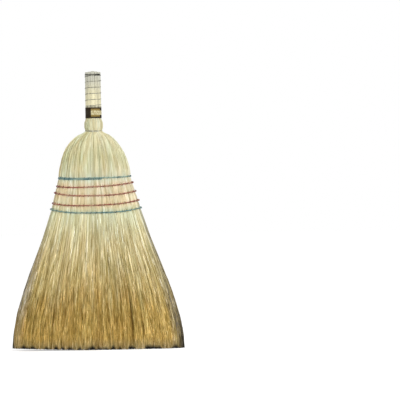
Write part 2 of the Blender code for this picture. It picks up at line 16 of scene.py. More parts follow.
import bmesh
import bpy
import numpy as np
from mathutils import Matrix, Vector


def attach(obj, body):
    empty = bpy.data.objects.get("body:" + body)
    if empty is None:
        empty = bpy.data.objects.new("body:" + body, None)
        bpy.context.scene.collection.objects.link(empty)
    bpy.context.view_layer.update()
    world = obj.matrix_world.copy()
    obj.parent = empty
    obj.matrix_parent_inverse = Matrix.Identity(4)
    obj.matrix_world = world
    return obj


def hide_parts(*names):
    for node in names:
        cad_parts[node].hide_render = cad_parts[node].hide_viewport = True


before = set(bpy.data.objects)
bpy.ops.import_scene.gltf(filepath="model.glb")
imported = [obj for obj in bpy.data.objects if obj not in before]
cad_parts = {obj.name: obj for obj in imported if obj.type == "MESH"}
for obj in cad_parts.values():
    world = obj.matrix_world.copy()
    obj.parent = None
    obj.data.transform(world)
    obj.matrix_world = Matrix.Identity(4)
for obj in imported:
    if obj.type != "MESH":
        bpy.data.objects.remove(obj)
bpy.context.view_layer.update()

BODY = "root"
TURN = 2 * math.pi
SMOOTH_ANGLE = math.radians(80)
LOG = logging.getLogger("broom")

Array = np.ndarray
Value = float | Array
Pair = tuple[float, float]
Triple = tuple[float, float, float]
Ramp = tuple[float, float, float, float]
Colour = Triple
Socket = bpy.types.NodeSocket
Source = Socket | float | Triple


class Slot(Enum):
    """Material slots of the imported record."""

    STALK = "stalk"
    STRAW = "straw"
    WIRE = "wire"
    LABEL = "label"
    BLUE = "blue_twine"
    RED = "red_twine"


def rgb(red: int, green: int, blue: int) -> Colour:
    """A colour as it is seen on a screen, from 0 to 255, turned into linear light."""
    shares = np.array([red, green, blue]) / 255
    low, high = shares / 12.92, ((shares + 0.055) / 1.055) ** 2.4
    return tuple(float(value) for value in np.where(shares <= 0.04045, low, high))


def mix(start: Value, end: Value, share: Value) -> Value:
    """From start at share 0 to end at share 1."""
    return start + (end - start) * share


def clamp(value: Value) -> Value:
    """The value, kept between 0 and 1."""
    return np.clip(value, 0.0, 1.0)


def rise(value: Value, start: Value, run: float) -> Value:
    """From 0 at the start to 1 where the run ends."""
    return clamp((value - start) / run)


def fall(value: Value, run: float) -> Value:
    """From 1 at a value of 0 to 0 where the run ends."""
    return clamp(1 - value / run)


def ease(share: Value) -> Value:
    """The share, slow at both of its ends."""
    return share * share * (3 - 2 * share)


def bell(value: Array, middle: Value, reach: float) -> Array:
    """1 at the middle, and almost 0 from twice the reach on."""
    return np.exp(-(((value - middle) / reach) ** 2))


def unit(vectors: Array) -> Array:
    """The same directions, each one long."""
    return vectors / np.maximum(np.linalg.norm(vectors, axis=-1, keepdims=True), 1e-12)


# Modelling


def deselect_all() -> None:
    """Leaves nothing selected, so that an operator acts on its own piece only."""
    bpy.ops.object.select_all(action="DESELECT")


@contextmanager
def editing(piece: bpy.types.Object) -> Iterator[bmesh.types.BMesh]:
    """Opens one piece in edit mode, for choosing edges, with nothing in it selected.

    Args:
        piece: The piece to edit.

    Yields:
        Its edit mesh.
    """
    deselect_all()
    piece.select_set(True)
    bpy.context.view_layer.objects.active = piece
    bpy.ops.object.mode_set(mode="EDIT")
    bpy.ops.mesh.select_mode(type="EDGE")
    bpy.ops.mesh.select_all(action="DESELECT")
    yield bmesh.from_edit_mesh(piece.data)
    bpy.ops.object.mode_set(mode="OBJECT")


@dataclass(frozen=True)
class TubeStock:
    """A straight tube, modelled once and then laid along many paths.

    Its corners are kept as ring numbers and angles, and its faces as one run of corner numbers.
    """

    ring: Array
    angle: Array
    loops: Array
    starts: Array

    def lay(self, paths: Array, outs: Array, radii: Array, shape: Array | None = None) -> Array:
        """Lays a copy of the stock along each path.

        Args:
            paths: Points to follow, as copies x rings x 3.
            outs: Direction that angle 0 faces at each point.
            radii: Radius at each point, as copies x rings.
            shape: Factor on the radius of each corner of the stock, or None for a round tube.

        Returns:
            Corners, as copies x corners x 3.
        """
        along = unit(np.gradient(paths, axis=1))
        side = unit(np.cross(along, outs))
        out = np.cross(side, along)
        reach = radii[:, self.ring] * (1.0 if shape is None else shape)
        turned = np.cos(self.angle)[:, None] * out[:, self.ring]
        turned += np.sin(self.angle)[:, None] * side[:, self.ring]
        return paths[:, self.ring] + reach[..., None] * turned


@lru_cache(maxsize=None)
def tube_stock(sides: int, rings: int) -> TubeStock:
    """Models a straight tube with closed ends.

    Args:
        sides: Corners round the tube.
        rings: Rows of corners along it, three or more.

    Returns:
        The stock. The object that it was modelled as is removed.
    """
    deselect_all()
    bpy.ops.mesh.primitive_cylinder_add(
        vertices=sides, radius=1.0, depth=1.0, end_fill_type="NGON", location=(0, 0, 0)
    )
    tube = bpy.context.object
    with editing(tube) as mesh:
        for edge in mesh.edges:
            low, high = edge.verts
            edge.select_set(abs(low.co.z - high.co.z) > 0.5)
        bmesh.update_edit_mesh(tube.data)
        bpy.ops.mesh.subdivide(number_cuts=rings - 2)
    corners = np.empty(len(tube.data.vertices) * 3)
    tube.data.vertices.foreach_get("co", corners)
    x, y, z = corners.reshape(-1, 3).T
    loops = np.empty(len(tube.data.loops), int)
    tube.data.loops.foreach_get("vertex_index", loops)
    starts = np.empty(len(tube.data.polygons), int)
    tube.data.polygons.foreach_get("loop_start", starts)
    ring = np.rint((z + 0.5) * (rings - 1)).astype(int)
    bpy.data.meshes.remove(tube.data)
    return TubeStock(ring, np.arctan2(y, x), loops, starts)


class Sheaf:
    """Gathers laid stock, with what its material reads at each corner, into one mesh."""

    def __init__(self) -> None:
        """Starts empty."""
        self.corners: list[Array] = []
        self.loops: list[Array] = []
        self.starts: list[Array] = []
        self.marks: list[dict[str, Array]] = []
        self.corner_count = 0
        self.loop_count = 0

    def add(self, stock: TubeStock, corners: Array, marks: dict[str, Array]) -> None:
        """Adds every copy of one stock.

        Args:
            stock: The stock that was laid.
            corners: Its corners, as copies x corners x 3.
            marks: Values for the material, as copies x corners.
        """
        copies, count = corners.shape[:2]
        first = self.corner_count + count * np.arange(copies)
        self.loops.append((stock.loops[None] + first[:, None]).ravel())
        begin = self.loop_count + len(stock.loops) * np.arange(copies)
        self.starts.append((stock.starts[None] + begin[:, None]).ravel())
        self.corners.append(corners.reshape(-1, 3))
        full = {name: np.broadcast_to(mark, (copies, count)).ravel() for name, mark in marks.items()}
        self.marks.append(full)
        self.corner_count += copies * count
        self.loop_count += copies * len(stock.loops)

    def piece(self, name: str) -> bpy.types.Object:
        """Makes the mesh object of all that was added.

        Args:
            name: The object's name.

        Returns:
            The object, at the origin, smooth all over.
        """
        mesh = bpy.data.meshes.new(name)
        corners, loops = np.concatenate(self.corners), np.concatenate(self.loops)
        starts = np.concatenate(self.starts)
        mesh.vertices.add(len(corners))
        mesh.vertices.foreach_set("co", corners.astype(np.float32).ravel())
        mesh.loops.add(len(loops))
        mesh.loops.foreach_set("vertex_index", loops.astype(np.int32))
        mesh.polygons.add(len(starts))
        mesh.polygons.foreach_set("loop_start", starts.astype(np.int32))
        mesh.update(calc_edges=True)
        mesh.validate()
        for mark in self.marks[0]:
            values = np.concatenate([marks[mark] for marks in self.marks]).astype(np.float32)
            mesh.attributes.new(mark, "FLOAT", "POINT").data.foreach_set("value", values)
        piece = bpy.data.objects.new(name, mesh)
        bpy.context.scene.collection.objects.link(piece)
        deselect_all()
        piece.select_set(True)
        bpy.context.view_layer.objects.active = piece
        bpy.ops.object.shade_smooth_by_angle(angle=SMOOTH_ANGLE)
        return piece


def single_piece(
    name: str, stock: TubeStock, corners: Array, marks: dict[str, Array]
) -> bpy.types.Object:
    """Makes a piece of one laid stock alone.

    Args:
        name: The object's name.
        stock: The stock that was laid.
        corners: Its corners, as copies x corners x 3.
        marks: Values for the material, as copies x corners.

    Returns:
        The object.
    """
    sheaf = Sheaf()
    sheaf.add(stock, corners, marks)
    return sheaf.piece(name)


def install(piece: bpy.types.Object, finish: bpy.types.Material, slot: Slot, *nodes: str) -> None:
    """Dresses a piece, mounts it on the broom's body and hides the solids that it stands for.

    Args:
        piece: The finished piece.
        finish: Its material.
        slot: The record's material slot.
        nodes: Names of the solids that it replaces.
    """
    piece.data.materials.clear()
    piece.data.materials.append(finish)
    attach(piece, BODY)
    if nodes:
        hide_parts(*nodes)
    faces = len(piece.data.polygons)
    LOG.info("%s: %d faces, %s, for %s", piece.name, faces, slot.value, ", ".join(nodes) or "itself")


# Materials


@dataclass(frozen=True)
class Spots:
    """Noise spread between two values.

    Attributes:
        scale: How fine the noise is.
        detail: How many finer noises are added to it.
        span: The two limits of the noise, and the result at each.
    """

    scale: float
    detail: float
    span: Ramp


class Graph:
    """A node tree with short ways to add and join nodes."""

    def __init__(self, tree: bpy.types.NodeTree) -> None:
        """Wraps the tree."""
        self.tree = tree

    def add(self, kind: str, **settings: object) -> bpy.types.Node:
        """Adds a node.

        Args:
            kind: Its type, without the ShaderNode prefix.
            settings: Properties to set on it.

        Returns:
            The node.
        """
        node = self.tree.nodes.new("ShaderNode" + kind)
        for name, value in settings.items():
            setattr(node, name, value)
        return node

    def feed(self, socket: Socket, source: Source) -> None:
        """Links a socket to another, or sets its value."""
        if isinstance(source, Socket):
            self.tree.links.new(source, socket)
        else:
            socket.default_value = source

    def maths(self, operation: str, first: Source, second: Source = 0.0) -> Socket:
        """The result of a Math node."""
        node = self.add("Math", operation=operation)
        self.feed(node.inputs[0], first)
        self.feed(node.inputs[1], second)
        return node.outputs[0]

    def times(self, first: Source, second: Source) -> Socket:
        """The product of two values."""
        return self.maths("MULTIPLY", first, second)

    def span(
        self, value: Socket, low: float, high: float, start: float = 0.0, end: float = 1.0
    ) -> Socket:
        """A value's way between two limits, as a smooth way between two other numbers.

        Args:
            value: The value.
            low: Where its way begins.
            high: Where its way is over.
            start: Result at the low limit and past it.
            end: Result at the high limit and past it.

        Returns:
            The result.
        """
        node = self.add("MapRange", interpolation_type="SMOOTHSTEP")
        for socket, source in zip(node.inputs, (value, low, high, start, end)):
            self.feed(socket, source)
        return node.outputs[0]

    def blend(self, kind: str, share: Source, under: Source, over: Source) -> Socket:
        """Two colours mixed by a Mix node of this blend type."""
        node = self.add("Mix", data_type="RGBA", blend_type=kind)
        self.feed(node.inputs["Factor"], share)
        for socket, source in zip((node.inputs[6], node.inputs[7]), (under, over)):
            self.feed(socket, (*source, 1.0) if isinstance(source, tuple) else source)
        return node.outputs[2]

    def place(self) -> Socket:
        """Where a point of the piece is, in metres."""
        return self.add("TexCoord").outputs["Object"]

    def parts(self, vector: Socket) -> bpy.types.bpy_prop_collection:
        """The three parts of a vector, named X, Y and Z."""
        node = self.add("SeparateXYZ")
        self.feed(node.inputs[0], vector)
        return node.outputs

    def stretched(self, vector: Socket, scale: Triple) -> Socket:
        """A vector scaled by its own factor on each axis."""
        node = self.add("Mapping")
        self.feed(node.inputs["Vector"], vector)
        self.feed(node.inputs["Scale"], scale)
        return node.outputs["Vector"]

    def noise(self, vector: Socket, scale: Source, detail: float = 2.0) -> Socket:
        """Noise, as a value from 0 to 1."""
        node = self.add("TexNoise")
        for name, source in (("Vector", vector), ("Scale", scale), ("Detail", detail)):
            self.feed(node.inputs[name], source)
        return node.outputs[0]

    def spots(self, vector: Socket, spots: Spots) -> Socket:
        """Noise spread between two values."""
        noise = self.noise(vector, spots.scale, spots.detail)
        return self.span(noise, *spots.span)

    def seen(self, *rays: str) -> Socket:
        """1 for rays of these kinds, as the Light Path node names them, and 0 for others."""
        path = self.add("LightPath")
        seen = path.outputs[rays[0]]
        for name in rays[1:]:
            seen = self.maths("MAXIMUM", seen, path.outputs[name])
        return seen

    def mark(self, name: str) -> Socket:
        """What the piece's mesh holds under this name."""
        return self.add("Attribute", attribute_name=name).outputs["Fac"]

    def stops(self, value: Socket, stops: tuple[tuple[float, Colour], ...]) -> Socket:
        """A colour ramp."""
        node = self.add("ValToRGB")
        ramp = node.color_ramp
        while len(ramp.elements) < len(stops):
            ramp.elements.new(1.0)
        for element, (place, colour) in zip(ramp.elements, stops):
            element.position = place
            element.color = (*colour, 1.0)
        self.feed(node.inputs[0], value)
        return node.outputs[0]


@lru_cache(maxsize=None)
def grain_group() -> bpy.types.NodeTree:
    """Streaks along Z, as in straw: a colour factor, and a height for bump.

    Returns:
        The node group, with inputs Vector, Fineness, Contrast and Patches, and outputs Factor
        and Height.
    """
    fine, coarse, swing_gain = (1.0, 1.0, 0.03), (0.22, 0.22, 0.02), 4.0
    tree = bpy.data.node_groups.new("straw_grain", "ShaderNodeTree")
    tree.interface.new_socket("Vector", in_out="INPUT", socket_type="NodeSocketVector")
    for name in ("Fineness", "Contrast", "Patches"):
        tree.interface.new_socket(name, in_out="INPUT", socket_type="NodeSocketFloat")
    for name in ("Factor", "Height"):
        tree.interface.new_socket(name, in_out="OUTPUT", socket_type="NodeSocketFloat")
    graph = Graph(tree)
    given, made = tree.nodes.new("NodeGroupInput"), tree.nodes.new("NodeGroupOutput")
    factor: Source = 1.0
    for stretch, amount in ((fine, "Contrast"), (coarse, "Patches")):
        vector = graph.stretched(given.outputs["Vector"], stretch)
        noise = graph.noise(vector, given.outputs["Fineness"])
        swing = graph.times(graph.maths("SUBTRACT", noise, 0.5), given.outputs[amount])
        factor = graph.maths("ADD", factor, graph.times(swing, swing_gain))
        if amount == "Contrast":
            graph.feed(made.inputs["Height"], noise)
    graph.feed(made.inputs["Factor"], factor)
    return tree


@dataclass(frozen=True)
class Finish:
    """A material of the broom. Each kind adds its own nodes."""

    name: str
    roughness: float = 0.7
    specular: float = 0.5
    bump_depth: float = 0.0002

    def material(self) -> bpy.types.Material:
        """Builds the material with this finish's colour, roughness and bump."""
        made = bpy.data.materials.new(self.name)
        made.use_nodes = True
        graph = Graph(made.node_tree)
        shader = made.node_tree.nodes["Principled BSDF"]
        shader.inputs["Roughness"].default_value = self.roughness
        shader.inputs["Specular IOR Level"].default_value = self.specular
        self.dress(graph, shader)
        return made

    def dress(self, graph: Graph, shader: bpy.types.Node) -> None:
        """Feeds the shader. Each kind of finish has its own way."""
        raise NotImplementedError

    @staticmethod
    def grain(graph: Graph, streaks: Triple) -> bpy.types.Node:
        """Places the shared grain with this finish's own fineness, contrast and patches."""
        node = graph.add("Group", node_tree=grain_group())
        graph.feed(node.inputs["Vector"], graph.place())
        for name, value in zip(("Fineness", "Contrast", "Patches"), streaks):
            graph.feed(node.inputs[name], value)
        return node

    def bump(self, graph: Graph, shader: bpy.types.Node, height: Socket) -> None:
        """Bumps the shader's surface by a height map that spans the finish's depth."""
        node = graph.add("Bump")
        node.inputs["Distance"].default_value = self.bump_depth
        graph.feed(node.inputs["Height"], height)
        graph.feed(shader.inputs["Normal"], node.outputs["Normal"])

    @staticmethod
    def scaled(
        graph: Graph, colour: Source, factor: Socket, powers: Triple = (1.0, 1.0, 1.0)
    ) -> Socket:
        """A colour made lighter or darker.

        Args:
            graph: The material's tree.
            colour: The colour.
            factor: How much lighter or darker, around 1.
            powers: Power of the factor for red, green and blue. More for blue makes what is
                lighter also paler.

        Returns:
            The new colour.
        """
        shade = graph.add("CombineColor")
        for socket, power in zip(shade.inputs, powers):
            graph.feed(socket, factor if power == 1.0 else graph.maths("POWER", factor, power))
        return graph.blend("MULTIPLY", 1.0, colour, shade.outputs[0])


@dataclass(frozen=True)
class StrawFinish(Finish):
    """Sorghum fibre: pale at the neck and sewing, golden brown at the tips."""

    specular: float = 0.3
    stops: tuple[tuple[float, Colour], ...] = ()
    top: float = 0.5
    streaks: Triple = (700.0, 0.20, 0.06)
    paling: Triple = (0.86, 1.0, 1.55)
    warming: Triple = (0.040, -0.014, -0.070)
    rust: Colour = rgb(166, 128, 74)
    rust_share: float = 0.60
    rust_hues: Pair = (0.62, 1.0)
    rust_heights: Ramp = (0.02, 0.30, 1.0, 0.25)
    green: Colour = rgb(184, 188, 132)
    green_share: float = 0.45
    green_hues: Pair = (0.35, 0.0)
    bleached: Colour = rgb(212, 203, 180)
    weathered: Colour = rgb(118, 114, 102)
    weathered_hues: Ramp = (0.2, 0.6, 0.45, 1.0)
    # Black for the trimmed tips and the fan's lowest corners.
    blackening: Colour = rgb(28, 23, 12)
    blackening_height: float = 0.0065
    corner_hues: Ramp = (0.1, 0.6, 0.4, 1.0)
    blue_stain: Colour = rgb(196, 212, 208)
    red_stain: Colour = rgb(250, 206, 190)

    def dress(self, graph: Graph, shader: bpy.types.Node) -> None:
        """Height sets the colour, each fibre's own marks vary it, and grain streaks it."""
        level, hue = graph.parts(graph.place())["Z"], graph.mark("hue")
        height = graph.maths("ADD", level, graph.mark("lift"))
        colour = graph.stops(graph.maths("DIVIDE", height, self.top), self.stops)
        rusty = graph.times(graph.span(hue, *self.rust_hues), graph.span(level, *self.rust_heights))
        colour = graph.blend("MIX", graph.times(rusty, self.rust_share), colour, self.rust)
        greenish = graph.times(graph.span(hue, *self.green_hues), self.green_share)
        colour = graph.blend("MIX", greenish, colour, self.green)
        colour = graph.blend("MIX", graph.mark("blue"), colour, self.blue_stain)
        colour = graph.blend("MIX", graph.mark("red"), colour, self.red_stain)
        old = graph.blend("MIX", graph.mark("dull"), self.bleached, self.weathered)
        worn = graph.times(graph.mark("edge"), graph.span(hue, *self.weathered_hues))
        colour = self.warmed(graph, graph.blend("MIX", worn, colour, old))
        grain = self.grain(graph, self.streaks)
        # The tone mark includes painted light and shade: in the valleys between tufts, on the dark
        # bodies and on the filling.
        lightness = graph.times(graph.mark("tone"), grain.outputs["Factor"])
        colour = self.scaled(graph, colour, lightness, self.paling)
        # Black towards the trimmed tips and at the fan's lowest corners.
        colour = graph.blend("MIX", self.blackened(graph, hue), colour, self.blackening)
        graph.feed(shader.inputs["Base Color"], colour)
        self.bump(graph, shader, grain.outputs["Height"])

    def warmed(self, graph: Graph, colour: Socket) -> Socket:
        """The colour a little warmer in some places and cooler in others."""
        tint = graph.add("CombineColor")
        for socket, amount in zip(tint.inputs, self.warming):
            graph.feed(socket, graph.maths("ADD", graph.times(graph.mark("warmth"), amount), 1.0))
        return graph.blend("MULTIPLY", 1.0, colour, tint.outputs[0])

    def blackened(self, graph: Graph, hue: Socket) -> Socket:
        """How black the straw is, at its trimmed tips or at the fan's lowest corners."""
        faded = graph.maths("DIVIDE", graph.mark("above"), self.blackening_height)
        tip_black = graph.maths("SUBTRACT", graph.mark("blackening"), faded)
        black = graph.times(graph.mark("corner"), graph.span(hue, *self.corner_hues))
        return graph.maths("MAXIMUM", tip_black, black)


@dataclass(frozen=True)
class StalkFinish(Finish):
    """Peeled stalks: pale, streaked, greyer towards the cut ends, with painted shade in the hollows
    between ridges and pith in the cut.
    """

    specular: float = 0.4
    bump_depth: float = 0.00025
    streaks: Triple = (1100.0, 0.25, 0.15)
    lower_pale: Colour = rgb(225, 218, 181)
    upper_grey: Colour = rgb(194, 193, 177)
    upper_grey_heights: Pair = (0.535, 0.587)
    patch_stretch: Triple = (1.0, 1.0, 0.35)
    patch_scale: float = 90.0
    patch_lift: float = 0.03
    # Painted shade, multiplied into the hollows between the stalk's ridges.
    shade: Colour = rgb(120, 110, 80)
    pith: Colour = rgb(226, 226, 214)
    pores: Spots = Spots(2600.0, 1.0, (0.35, 0.65, 0.78, 1.05))

    def dress(self, graph: Graph, shader: bpy.types.Node) -> None:
        """Grain along the stalk, greyer higher up, painted shade in the hollows between ridges, and
        pale pores in the cut face.
        """
        place = graph.place()
        patches = graph.noise(graph.stretched(place, self.patch_stretch), self.patch_scale)
        lift = graph.times(patches, self.patch_lift)
        height = graph.maths("ADD", graph.parts(place)["Z"], lift)
        # Greyer higher up, towards the cut ends.
        colour = graph.blend("MIX", graph.span(height, *self.upper_grey_heights), self.lower_pale, self.upper_grey)
        grain = self.grain(graph, self.streaks)
        lightness = graph.times(graph.mark("tone"), grain.outputs["Factor"])
        colour = self.scaled(graph, colour, lightness)
        # Painted shade in the hollows between the ridges.
        colour = graph.blend("MULTIPLY", graph.mark("groove"), colour, self.shade)
        pith = self.scaled(graph, self.pith, graph.spots(place, self.pores))
        colour = graph.blend("MIX", graph.mark("cut"), colour, pith)
        graph.feed(shader.inputs["Base Color"], colour)
        self.bump(graph, shader, grain.outputs["Height"])


@dataclass(frozen=True)
class TwineFinish(Finish):
    """Dyed twine: darker between its plies as painted shade, dusty and faded along its length."""

    dye: Colour = (0.1, 0.1, 0.1)
    faded: Colour = (0.5, 0.5, 0.5)
    fading: Spots = Spots(60.0, 3.0, (0.38, 0.64, 0.0, 0.9))
    grime: Spots = Spots(110.0, 2.0, (0.50, 0.66, 1.06, 0.68))
    fuzz_scale: float = 3500.0
    fuzz_light: Ramp = (0.2, 0.8, 0.8, 1.2)
    sheen: float = 0.2

    def dress(self, graph: Graph, shader: bpy.types.Node) -> None:
        """The tone mark, painted shade between the plies of a wrap, then patches of fading and fine
        fuzz.
        """
        place = graph.place()
        colour = graph.blend("MIX", graph.spots(place, self.fading), self.dye, self.faded)
        fuzz = graph.noise(place, self.fuzz_scale)
        lightness = graph.times(graph.mark("tone"), graph.span(fuzz, *self.fuzz_light))
        lightness = graph.times(lightness, graph.spots(place, self.grime))
        graph.feed(shader.inputs["Base Color"], self.scaled(graph, colour, lightness))
        shader.inputs["Sheen Weight"].default_value = self.sheen
        self.bump(graph, shader, fuzz)


@dataclass(frozen=True)
class WireFinish(Finish):
    """Galvanised wire, dulled in patches."""

    roughness: float = 0.35
    bump_depth: float = 0.00008
    bright: Colour = rgb(186, 184, 168)
    dull: Colour = rgb(128, 125, 108)
    tarnish: Spots = Spots(240.0, 4.0, (0.35, 0.65, 0.0, 1.0))
    tarnish_roughness: float = 0.3
    metallic: float = 0.5
    pit_scale: float = 1800.0

    def dress(self, graph: Graph, shader: bpy.types.Node) -> None:
        """Patches of tarnish change the colour and the roughness together."""
        place = graph.place()
        tarnish = graph.spots(place, self.tarnish)
        colour = graph.blend("MIX", tarnish, self.bright, self.dull)
        graph.feed(shader.inputs["Base Color"], self.scaled(graph, colour, graph.mark("tone")))
        rougher = graph.times(tarnish, self.tarnish_roughness)
        graph.feed(shader.inputs["Roughness"], graph.maths("ADD", rougher, self.roughness))
        shader.inputs["Metallic"].default_value = self.metallic
        self.bump(graph, shader, graph.noise(place, self.pit_scale))


@dataclass(frozen=True)
class LabelFinish(Finish):
    """Plain printed paper: a cream and gold field, a dark panel, and dark borders."""

    specular: float = 0.15
    bump_depth: float = 0.0001
    field: Colour = rgb(212, 204, 164)
    gold: Colour = rgb(140, 120, 68)
    ink: Colour = rgb(27, 16, 3)
    panel: Pair = (0.19, 0.425)
    border: float = 0.13
    gilt: float = 0.17
    field_end: float = 0.61
    blotches: Spots = Spots(320.0, 3.0, (0.35, 0.65, 0.0, 0.7))
    wear: Spots = Spots(900.0, 3.0, (0.3, 0.62, 0.93, 1.0))
    paper_noise: Pair = (1500.0, 3.0)

    def dress(self, graph: Graph, shader: bpy.types.Node) -> None:
        """Bands across the paper's own width and length, with worn ink."""
        split = graph.parts(graph.add("UVMap", uv_map="UVMap").outputs[0])
        along, across, place = split[0], split[1], graph.place()
        from_middle = graph.maths("ABSOLUTE", graph.maths("SUBTRACT", across, 0.5))
        from_edge = graph.maths("SUBTRACT", 0.5, from_middle)
        gilt = graph.maths("LESS_THAN", from_edge, self.border + self.gilt)
        colour = graph.blend("MIX", gilt, self.field, self.gold)
        colour = graph.blend("MIX", graph.spots(place, self.blotches), colour, self.gold)
        past = graph.maths("GREATER_THAN", along, self.field_end)
        deeper = graph.maths("ADD", graph.times(past, self.gilt), self.border)
        start, end = self.panel
        inside = graph.maths("GREATER_THAN", along, start)
        inside = graph.times(inside, graph.maths("LESS_THAN", along, end))
        dark = graph.maths("MAXIMUM", graph.maths("LESS_THAN", from_edge, deeper), inside)
        dark = graph.times(dark, graph.spots(place, self.wear))
        graph.feed(shader.inputs["Base Color"], graph.blend("MIX", dark, colour, self.ink))
        self.bump(graph, shader, graph.noise(place, *self.paper_noise))


@dataclass(frozen=True)
class FloorFinish(Finish):
    """Pale floor that fades into the white round it and keeps the broom's shadow."""

    specular: float = 0.0
    colour: Colour = (0.9, 0.9, 0.9)
    glow: float = 0.5

    def dress(self, graph: Graph, shader: bpy.types.Node) -> None:
        """Matt paint with a little light of its own towards the camera."""
        shader.inputs["Base Color"].default_value = (*self.colour, 1.0)
        shader.inputs["Emission Color"].default_value = (1.0, 1.0, 1.0, 1.0)
        seen = graph.seen("Is Camera Ray", "Is Glossy Ray")
        graph.feed(shader.inputs["Emission Strength"], graph.times(seen, self.glow))


STRAW = StrawFinish(
    "sorghum_straw",
    0.65,
    stops=(
        (0.00, rgb(178, 158, 112)),
        (0.05, rgb(220, 188, 104)),
        (0.16, rgb(202, 172, 94)),
        (0.30, rgb(214, 194, 133)),
        (0.45, rgb(224, 212, 166)),
        (0.57, rgb(237, 233, 195)),
        (0.70, rgb(236, 230, 200)),
        (0.80, rgb(219, 215, 176)),
        (0.88, rgb(228, 225, 192)),
        (1.00, rgb(214, 209, 177)),
    ),
)
STALKS = StalkFinish("peeled_stalks", 0.55)
BLUE_TWINE = TwineFinish("blue_twine", 0.75, dye=rgb(84, 128, 130), faded=rgb(152, 176, 160))
RED_TWINE = TwineFinish("red_twine", 0.75, dye=rgb(146, 70, 54), faded=rgb(188, 140, 112))
WIRE = WireFinish("galvanised_wire")
LABEL = LabelFinish("paper_label", 0.65)
FLOOR = FloorFinish("studio_floor", 1.0)


# The brush


@dataclass(frozen=True)
class SewingRow:
    """One row of sewing, at the same place as its solid.

    Attributes:
        node: The solid.
        drop: How far below the neck wire it runs at the middle.
        rise: Height that it gains at the shoulders.
        tilt: How much more it gains at the right than at the left.
        start: Where the twine starts, as a share of the way round from the right by the back.
        turns: How often it goes round.
        slot: The twine's colour.
    """

    node: str
    drop: float
    rise: float
    tilt: float
    start: float
    turns: float
    slot: Slot


ROWS = (
    SewingRow("stitch_row_1_blue", 0.0990, 0.0031, 0.0010, 0.48, 1.32, Slot.BLUE),
    SewingRow("stitch_row_2_red", 0.1160, 0.0053, 0.0030, 0.20, 1.06, Slot.RED),
    SewingRow("stitch_row_3_red", 0.1345, 0.0080, 0.0006, 0.26, 1.06, Slot.RED),
    SewingRow("stitch_row_4_red", 0.1545, 0.0078, 0.0018, 0.18, 1.06, Slot.RED),
    SewingRow("stitch_row_5_blue", 0.1700, 0.0092, 0.0000, 0.24, 1.06, Slot.BLUE),
)


